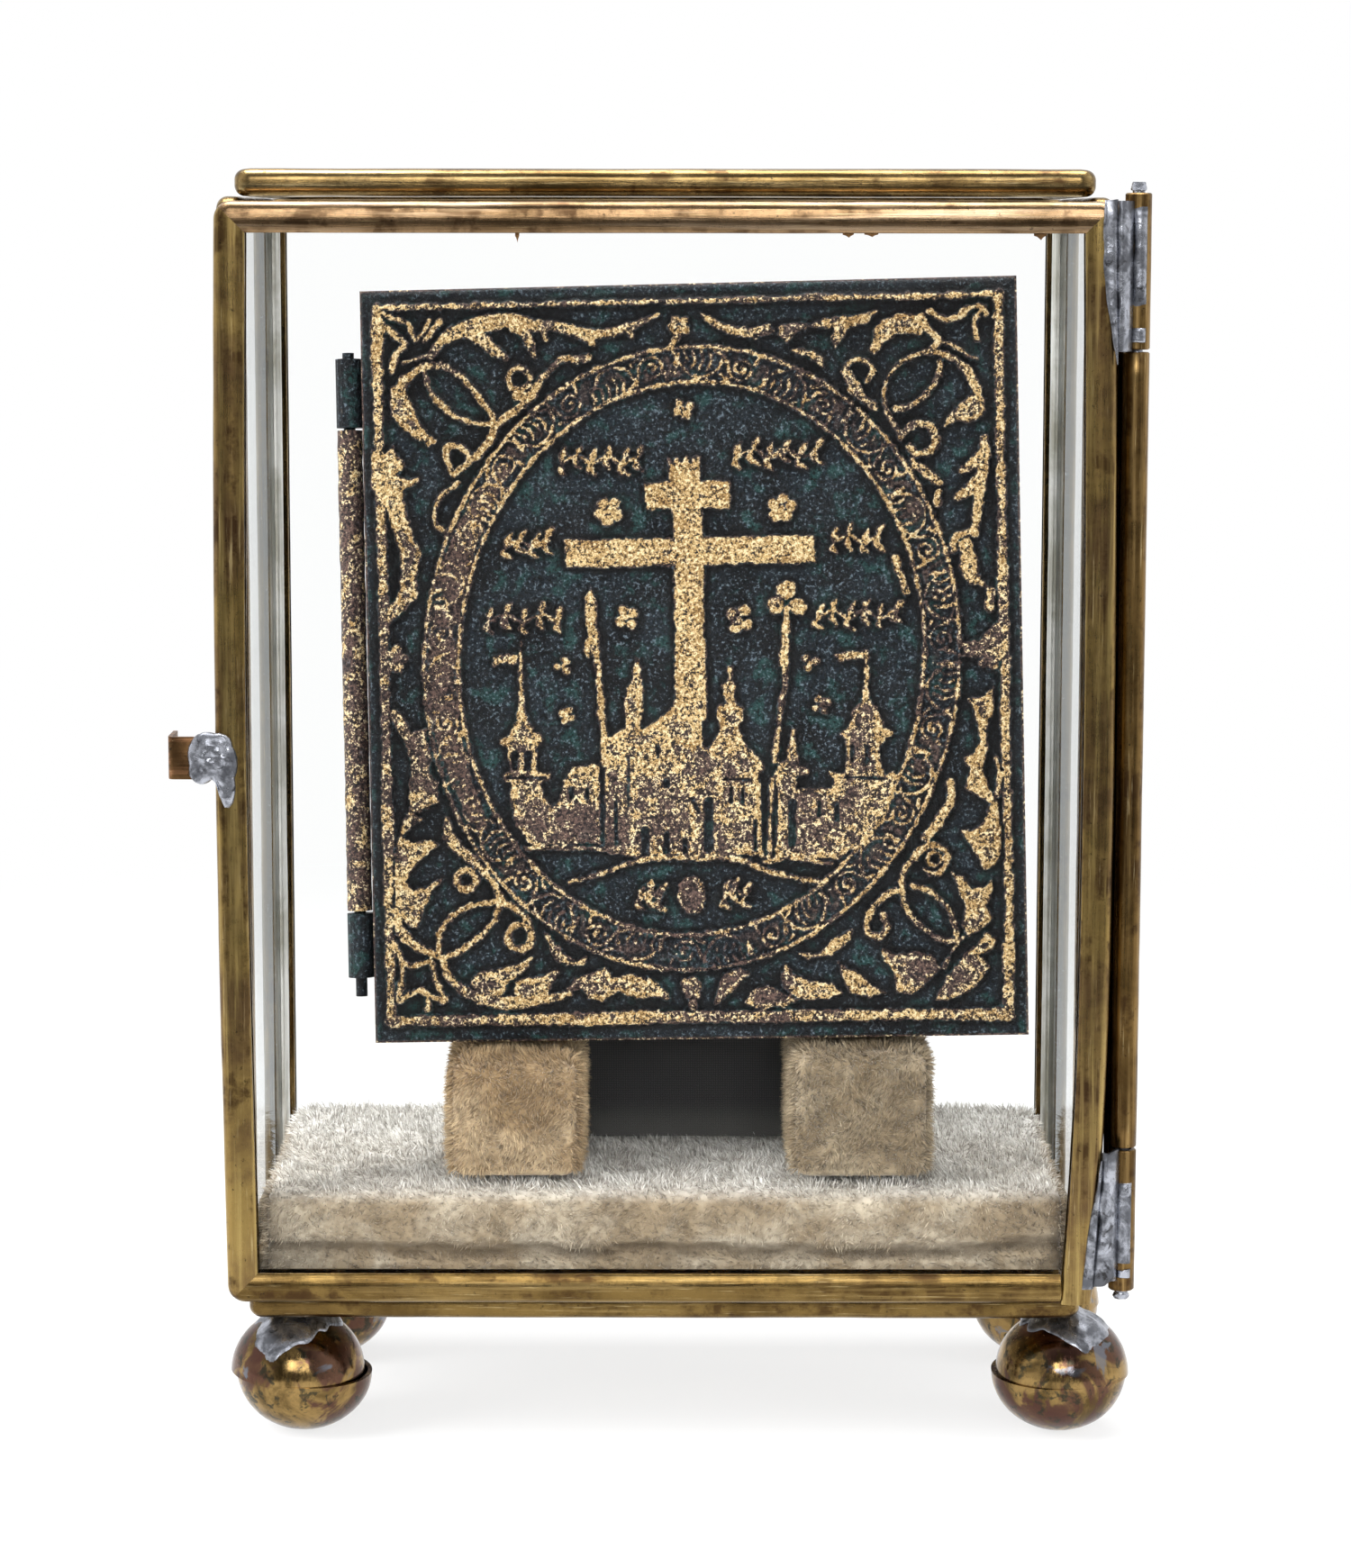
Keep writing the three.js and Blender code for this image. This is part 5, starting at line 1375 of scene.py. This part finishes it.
def build_pin():
    """The hinge pin, each end nipped flat and ragged by the cutters."""
    lo, hi, x, y, head = round_box("hinge_pin")
    shank, nip, taper, segments = 0.88 * MM, 1.2 * MM, 1.25 * MM, 20
    rng = np.random.default_rng(8)
    shares = np.linspace(0, 1, 7)
    levels = [(lo.z + nip * s, head * (0.72 + 0.25 * math.sin(math.pi * s)), 0.55 + 0.4 * s) for s in shares]
    levels += [(lo.z + taper, shank, 1), (hi.z - taper, shank, 1)]
    levels += [(hi.z - nip * (1 - s), head * (0.97 - 0.22 * s), 0.9 - 0.4 * s) for s in shares]
    verts = []
    for z, r, flat in levels:
        for cos, sin in circle(segments):
            rag = rng.uniform(0.86, 1.0) if flat < 1 else 1
            end = rng.uniform(-0.1, 0) * MM if flat < 0.6 else 0
            end = -end if z < (lo.z + hi.z) / 2 else end
            verts.append((x + r * rag * cos, y + r * rag * flat * sin, z + end))
    pin = new_object("crimped_hinge_pin", verts, capped_tube(len(levels), segments), sharp_degrees=35)
    place(pin, "case_body", SOLDER, "solder", "hinge_pin")


def foot_profile(radius, low, high, upper, shell=0.65 * MM, steps=16):
    """A pressed dome and its hollow, as a closed line of (radius, height)."""
    def line(r, tall, order):
        rises = [(r * math.sin(a), tall * math.cos(a)) for a in (math.pi / 2 * k / steps for k in order)]
        return [(out, low + rise if upper else high - rise) for out, rise in rises]

    return (line(radius, high - low, range(steps + 1))
            + line(radius - shell, high - low - shell, range(steps, -1, -1)))


# Each foot's tilt about X and Y, how far its upper dome sits askew, and the way its solder ran
# and how far, in degrees and millimetres
FEET = {
    "front_left": (0.02, 0.05, -0.9, 236, 2.9), "front_right": (0.03, -0.02, 0.5, 292, 2.6),
    "back_left": (-0.03, 0.02, -0.3, 120, 2.0), "back_right": (0.02, 0.03, 0.3, 60, 2.2),
}


def build_feet():
    for seed, (corner, (tilt_x, tilt_y, askew, way, reach)) in enumerate(FEET.items()):
        for part in ("lower", "upper"):
            node = f"foot_{corner}_{part}"
            lo, hi, x, y, radius = round_box(node)
            if part == "upper":
                x += askew * MM
                seam = lo.z
                profile = foot_profile(radius + UPPER_DOME_LIP, lo.z, hi.z, True)
            else:
                seam = hi.z
                profile = foot_profile(radius, lo.z + 0.1 * MM, hi.z + 0.35 * MM, False)
                profile = [(r, max(z, lo.z + 0.02 * MM)) for r, z in profile]
            dome = lathe("dome_" + node, profile, (x, y, 0), 72, seed + 40, (tilt_x, tilt_y, seam))
            co = places_of(dome)
            co[:, 2] = np.clip(co[:, 2], lo.z, hi.z + 0.4 * MM)
            dome.data.vertices.foreach_set("co", co.astype(np.float32).ravel())
            place(dome, "case_body", FOOT_BRASS, "pressed_foot", node)
        build_foot_solder(corner, askew * MM, math.radians(way), reach * MM, seed)


def build_foot_solder(corner, askew, way, run, seed):
    """A ragged collar of solder between the case and the top of a foot, run down one side."""
    node = f"foot_{corner}_solder"
    _, hi, x, y, radius = round_box(node)
    dome_lo, dome_hi, _, _, dome_r = round_box(f"foot_{corner}_upper")
    dome_r, dome_h = dome_r + UPPER_DOME_LIP, dome_hi.z - dome_lo.z
    rings, segments = 20, 96
    hole, sunk = 0.3 * MM, 0.3 * MM
    outer, inner = [], []
    for i in range(rings + 1):
        share = i / rings
        for k, (cos, sin) in enumerate(circle(segments)):
            edge = [cos * 4 * MM + x, sin * 4 * MM + y, 0]
            turn = math.remainder(2 * math.pi * k / segments - way, 2 * math.pi)
            ragged = 0.78 + 0.16 * noise_at(edge, 2.4, seed + 60) + 0.1 * noise_at(edge, 0.9, seed + 65)
            reach = min(radius * ragged + run * math.exp(-((turn / 0.75) ** 2)), dome_r * 0.93)
            r = hole + (reach - hole) * share
            surface = dome_lo.z + dome_h * math.sqrt(max(0, 1 - (r / dome_r) ** 2))
            spot = [x + r * cos, y + r * sin, surface]
            lump = 1 + 0.45 * noise_at(spot, 1.6, seed + 70) + 0.25 * noise_at(spot, 0.7, seed + 75)
            thick = 0.42 * MM * lump * (1 - share**6) + 0.03 * MM
            top = min(surface + thick + 0.35 * MM * (1 - share) ** 2, hi.z)
            px = x + askew * (r / dome_r) + (r + 0.3 * thick) * cos
            py = y + (r + 0.3 * thick) * sin
            outer.append((px, py, top))
            inner.append((px, py, surface - sunk))
    faces = [f[::-1] for f in thick_grid(rings + 1, segments, closed=True)]
    collar = new_object("collar_" + node, outer + inner, faces, sharp_degrees=60)
    place(collar, "case_body", SOLDER, "solder", node)


# Solder

def solder_skin(name, path_at, low, high, thickness, seed, body="door", depth=0.05 * MM, mat=SOLDER):
    """A lumpy run of solder, drawn upwards. path_at gives, for a height, the line across the
    metal: places (x, y, nx, ny) on it and the way out of it."""
    rows = max(12, round((high - low) / (0.45 * MM)))
    outer, inner = [], []
    for i in range(rows + 1):
        share = i / rows
        z = low + (high - low) * share
        path = path_at(z)
        for k, (x, y, nx, ny) in enumerate(path):
            s = k / (len(path) - 1)
            rag, lump, tear = (noise_at([x * 0.5, y, z], cell, seed + step)
                               for step, cell in enumerate((2.6, 1.1, 1.3)))
            zz = z + 0.6 * MM * tear * (1 if share > 0.5 else -1) * abs(2 * share - 1) ** 3
            zz = min(max(zz, low), high)
            sides = min(1, 5 * s * (1 - s) + 0.1)
            ends = min(1, 8 * share * (1 - share) + 0.1)
            thick = thickness * sides * ends * (1 + 0.3 * rag + 0.18 * lump)
            slip = 0.3 * MM * rag * (1 if s < 0.2 else 0)
            outer.append((x + nx * thick + slip, y + ny * thick, zz))
            inner.append((x - nx * depth + slip, y - ny * depth, zz))
    obj = new_object(name, outer + inner, thick_grid(rows + 1, len(path)), sharp_degrees=70)
    return place(obj, body, mat, "solder")


def stile_edge(z):
    """The bent stile's outer edge at a height."""
    lo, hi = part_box("door_rail_right")
    return hi.x - STILE_BOW + stile_bend(min(max((z - lo.z) / (hi.z - lo.z), 0), 1))


# How wide the solder's film is on the stile, in millimetres, over the height of each knuckle's patch
FILM_WIDTHS = {"upper": [0.15, 0.8, 1.6, 2.0, 2.2, 2.0], "lower": [1.7, 1.6, 1.5, 1.2, 0.6, 0.15]}
# Where solder has run onto each knuckle: how far below its top it starts and ends, in millimetres
KNUCKLE_RUNS = {"upper": [(1.9, 15.6), (18.6, 20.6)], "lower": [(4.7, 16.6), (17.2, 18.6)]}


def build_hinge_solder():
    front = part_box("door_rail_right")[0].y
    for part, seed in (("upper", 80), ("lower", 90)):
        _, tube_hi, x, y, r = round_box("hinge_knuckle_" + part)
        web_lo, web_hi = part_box("hinge_solder_" + part)
        low, high = web_lo.z, web_hi.z
        if part == "upper":
            bead_low, bead_high, film_low = low - 1.1 * MM, high - 0.2 * MM, low - 3 * MM
        else:
            bead_low, bead_high, film_low = low + 0.4 * MM, high + 1.2 * MM, low

        def film(z):
            widths = FILM_WIDTHS[part]
            share = (z - film_low) / (high - film_low)
            width = float(np.interp(share, np.linspace(0, 1, len(widths)), widths)) * MM
            edge = stile_edge(z)
            return [(edge - width * (1 - k / 8), front + 0.25 * MM * (k / 8) ** 6, 0, -1) for k in range(9)]

        def bead(z):
            left, right = stile_edge(z) - 0.25 * MM, x - 0.42 * r
            near, far = front + 0.55 * MM, y - 0.9 * r
            line = []
            for s in (k / 12 for k in range(13)):
                bulge = 1.0 * MM * math.sin(math.pi * s**0.8)
                spot = left + (right - left) * s, near + (far - near) * s - bulge
                line.append((*spot, 0.3 * (2 * s - 1), -0.95))
            return line

        def run(z):
            angles = [math.pi * (1.33 + 0.37 * k / 6) for k in range(7)]
            return [(x + r * math.cos(a), y + r * math.sin(a), math.cos(a), math.sin(a)) for a in angles]

        solder_skin("solder_film_" + part, film, film_low, high, 0.3 * MM, seed)
        column = solder_skin("solder_bead_" + part, bead, bead_low, bead_high, 0.35 * MM, seed + 10,
                             depth=0.7 * MM)
        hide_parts("hinge_solder_" + part)
        for k, (top, bottom) in enumerate(KNUCKLE_RUNS[part]):
            solder_skin(f"solder_run_{part}_{k + 1}", run, tube_hi.z - bottom * MM, tube_hi.z - top * MM,
                        0.34 * MM, seed + 20 + 5 * k)


def build_barrel_solder():
    """The strip of solder that joins the barrel to the body's corner. It wears a darker brass as painted
    shade, for the gap beside the door where it lies in shadow.
    """
    lo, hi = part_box("hinge_solder_barrel")
    _, _, x, y, r = round_box("hinge_barrel")

    def across(z):
        line = []
        for share in (k / 8 for k in range(9)):
            angle = math.radians(102 + 50 * share)
            px, py = x + (r + 0.05 * MM) * math.cos(angle), y + (r + 0.05 * MM) * math.sin(angle)
            line.append((px + (lo.x - px) * share**2 * 0.8, py, -0.3, 0.95))
        return line

    strip = solder_skin("solder_barrel_strip", across, lo.z - 5 * MM, hi.z + 2 * MM, 0.9 * MM, 120,
                        body="case_body", mat=PAINTED_SHADE_BRASS)
    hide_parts("hinge_solder_barrel")


# The lobes of the catch's solder: across and up from its box's left top corner, half width, half
# height and how far each stands out, in millimetres
CATCH_LOBES = [
    (2.9, -3.3, 2.9, 3.2, 1.2), (4.9, -4.6, 2.2, 3.2, 1.15), (2.0, -5.6, 1.9, 2.0, 0.95),
    (5.5, -7.9, 1.25, 3.1, 0.75), (4.4, -1.9, 1.9, 1.6, 0.8), (1.0, -3.9, 1.0, 1.7, 0.6),
]


def build_catch_solder():
    """The lump that holds the catch, of a few lobes, with a run of solder below it."""
    lo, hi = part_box("catch_solder")
    lobes = np.array(CATCH_LOBES) * MM
    lobes[:, 0] += lo.x
    lobes[:, 1] += hi.z

    def stands(px, pz):
        d = ((px - lobes[:, 0]) / lobes[:, 2]) ** 2 + ((pz - lobes[:, 1]) / lobes[:, 3]) ** 2
        heights = np.where(d < 1, lobes[:, 4] * np.sqrt(np.maximum(1 - d, 0)), 0)
        return float((heights**6).sum() ** (1 / 6))

    centre = lobes[:2, :2].mean(0)
    rings, segments = 26, 72
    ways = np.array(circle(segments))
    tries = np.arange(0.2, 9, 0.1) * MM
    reaches = [max(t for t in tries if stands(*(centre + way * t)) > 0) for way in ways]
    verts = []
    for i in range(rings + 1):
        for way, reach in zip(ways, reaches):
            px, pz = centre + way * reach * (i / rings) ** 0.8
            rough = noise_at([px, 0, pz], 1.2, 131) * 0.16 + noise_at([px, 0, pz], 0.6, 132) * 0.07
            out = stands(px, pz) * (1 + rough) if i < rings else 0
            verts.append((min(max(px, lo.x), hi.x), max(hi.y - out, lo.y), min(max(pz, lo.z), hi.z)))
    faces = grid_faces(rings + 1, segments, close_columns=True)
    faces.append([rings * segments + k for k in range(segments)])
    lump = new_object("catch_solder_lump", verts, faces, sharp_degrees=70)
    place(lump, "door", SOLDER, "solder", "catch_solder")


def build_catch():
    """The catch: a strip bent round the stile's edge, its near end under the solder."""
    lo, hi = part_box("door_catch")
    wall, bend, chamfer, slope = 0.6 * MM, 1.0 * MM, 0.15 * MM, 0.5 * MM
    left, front, right = lo.x + 0.1 * MM, lo.y + 0.1 * MM, lo.x + CATCH_REACH
    line = [(left, hi.y), (left, front + 3.4 * MM)]
    line += [(left + bend * (1 - math.cos(a)), front + bend * (1 - math.sin(a)))
             for a in np.linspace(0, math.pi / 2, 7)]
    line += [(left + (right - left) * share, front) for share in (0.4, 0.7, 1)]
    line = np.array(line)
    ahead = unit(np.gradient(line, axis=0))
    inward = np.stack([-ahead[:, 1], ahead[:, 0]], 1)
    inward *= np.sign((inward * ([[right, hi.y]] - line)).sum(1, keepdims=True))
    verts = []
    for z, tilt in ((lo.z, 0.05 * MM), (lo.z + chamfer, 0), (hi.z - chamfer, 0), (hi.z, 0.05 * MM)):
        near = [(*spot, *way, tilt) for spot, way in zip(line, inward)]
        far = [(*spot, *way, wall) for spot, way in zip(line[::-1], inward[::-1])]
        for x, y, nx, ny, deep in near + far:
            drop = slope * (x - left) / (right - left)
            level = z - drop + slope / 2 if z > lo.z + MM else z
            verts.append((x + nx * deep, y + ny * deep, min(level, hi.z)))
    strip = new_object("catch_strip", verts, folded_grid(4, 2 * len(line)), sharp_degrees=40)
    place(strip, "door", CATCH_BRASS, "brass_channel", "door_catch")


# Scraps of copper foil that hang below the door's top rail: place across, width and drop, in millimetres
SCRAPS = [(-19.3, 0.6, 1.3), (26.4, 1.6, 0.6), (29.6, 2.0, 0.5), (52.9, 1.8, 0.9)]
SCRAP_OUTLINE = [
    (-0.5, 0.6), (0.5, 0.6), (0.46, -0.3), (0.2, -0.62), (0.05, -1), (-0.25, -0.5), (-0.5, -0.35),
]


def build_scraps():
    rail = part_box("door_rail_top")[0]
    count = len(SCRAP_OUTLINE)
    faces = [list(range(count)), list(range(2 * count - 1, count - 1, -1))]
    faces += [[i, count + i, count + (i + 1) % count, (i + 1) % count] for i in range(count)]
    for k, (x, width, drop) in enumerate(SCRAPS):
        verts = [((x + u * width) * MM, rail.y + y, rail.z + v * MM * (drop if v < 0 else 1))
                 for y in (0.9 * MM, 1.02 * MM) for u, v in SCRAP_OUTLINE]
        scrap = new_object(f"foil_scrap_{k + 1}", verts, faces, sharp_degrees=20)
        place(scrap, "door", CATCH_BRASS, "brass_channel")


# Stage

FLOOR_HALF = 4


def build_stage():
    corners = [(x * FLOOR_HALF, y * FLOOR_HALF, 0) for x, y in ((-1, -1), (1, -1), (1, 1), (-1, 1))]
    floor = new_object("floor", corners, [(0, 1, 2, 3)])
    floor.data.materials.append(stage_material("pale_floor", 0.92, 0.78))


# How bright the world is to what isn't a mirror or the camera
AROUND = 0.66


def build_world():
    """White to the camera and in mirrors, darker where the photographer stands, soft all round."""
    SCENE.world = bpy.data.worlds.new("studio")
    n = Nodes(SCENE.world)
    way = n.add("TexCoord").outputs["Generated"]
    path = n.add("LightPath").outputs
    front = n.between(n.axis(way, "Y"), -0.75, 0.1, 0.2, 0.95)
    side = n.between(n.math("ABSOLUTE", n.axis(way, "X")), 0.35, 0.8, 0.0, 0.5)
    level = n.mix(path["Is Glossy Ray"], AROUND, n.math("ADD", front, side, clamp=True), "FLOAT")
    direct = n.math("MAXIMUM", path["Is Camera Ray"], path["Is Transmission Ray"])
    strength = n.mix(direct, level, 1.0, "FLOAT")
    n.finish(n.add("Background", {"Strength": strength, "Color": (1, 1, 1, 1)}), "OutputWorld")


LAMP_TARGET = (0, 0, 0.09)
# Each lamp's name, place, size and watts, and whether mirrors show it
LAMPS = [
    ("left_box", (-0.7, -0.36, 0.6), (0.4, 0.6), 13.0, False),
    ("right_box", (0.8, -0.35, 0.45), (0.35, 0.8), 4.5, False),
    ("top_box", (0.0, 0.1, 0.95), (0.9, 0.5), 11.0, True),
    ("front_box", (0.05, -1.1, 0.52), (0.7, 0.38), 4.0, True),
]


def build_lamps():
    for name, spot, size, watts, mirrored in LAMPS:
        data = bpy.data.lights.new(name, "AREA")
        data.shape = "RECTANGLE"
        data.size, data.size_y = size
        data.energy = watts
        lamp = bpy.data.objects.new(name, data)
        SCENE.collection.objects.link(lamp)
        lamp.location = spot
        lamp.rotation_euler = (Vector(LAMP_TARGET) - Vector(spot)).to_track_quat("-Z", "Y").to_euler()
        lamp.visible_glossy = mirrored


def build_camera():
    data = bpy.data.cameras.new("photo_camera")
    data.sensor_fit = "VERTICAL"
    data.sensor_height = SENSOR
    data.sensor_width = SENSOR * PHOTO_WIDTH / PHOTO_HEIGHT
    data.lens = FOCAL_PIXELS / PHOTO_HEIGHT * SENSOR
    data.shift_y = HORIZON_SHIFT
    data.clip_start = 0.02
    camera = bpy.data.objects.new("photo_camera", data)
    SCENE.collection.objects.link(camera)
    turn = Matrix.Rotation(math.pi / 2 - CAMERA_PITCH, 4, "X") @ Matrix.Rotation(CAMERA_ROLL, 4, "Z")
    camera.matrix_world = Matrix.Translation(CAMERA_PLACE) @ turn
    SCENE.camera = camera


# What the CAD's own pieces wear, by the first words that a name holds
FRAME_LOOKS = [
    (("_glass",), GLASS), (("foot_",), FOOT_BRASS), (("solder", "hinge_pin"), SOLDER),
    (("velvet",), VELVET), (("icon_",), PLAIN_BRONZE), (("back_rest_board",), SATIN),
    (("hinge_",), TUBE_BRASS), (("rail", "catch"), BRASS["X"]),
]


def dress_frame():
    for node in frame["nodes"]:
        dress(node, next(mat for words, mat in FRAME_LOOKS if any(word in node for word in words)))


# Each velvet piece: its pad's crown, rise to the back and seed; its pile's seed, number of blades,
# length and lean. Lengths are in millimetres.
VELVETS = [
    ("velvet_base", VELVET, 0.5, 1.6, 141, 150, 60000, 1.9, (-0.35, -0.35, -0.15)),
    ("velvet_block_left", VELVET_LEFT, 0.3, 0, 160, 163, 22000, 2.0, (-0.3, -0.2, -0.45)),
    ("velvet_block_right", VELVET_RIGHT, 0.3, 0, 170, 173, 22000, 2.0, (-0.3, -0.2, -0.45)),
]


def build_velvet():
    for node, mat, crown, rise, seed, pile_seed, blades, length, lean in VELVETS:
        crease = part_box(node)[0].z + 6.2 * MM if node == "velvet_base" else None
        pad = soft_block(node + "_pad", node, crown * MM, seed, crease, rise * MM)
        place(pad, "case_body", mat, "velvet", node)
        pile = add_pile(node + "_pile", pad, blades, length * MM, lean, pile_seed, crease)
        place(pile, "case_body", mat, "velvet")


def build_hinge():
    for node, body, seed in (("hinge_knuckle_upper", "door", 181), ("hinge_knuckle_lower", "door", 182),
                             ("hinge_barrel", "case_body", 183)):
        hinge_tube(node, body, seed)
    build_pin()
    build_hinge_solder()
    build_barrel_solder()


SCENE.view_settings.view_transform = "Standard"
build_camera()
build_world()
build_lamps()
build_stage()
dress_frame()
build_rails()
build_leaf()
build_velvet()
build_hinge()
build_catch_solder()
build_catch()
build_scraps()
build_feet()
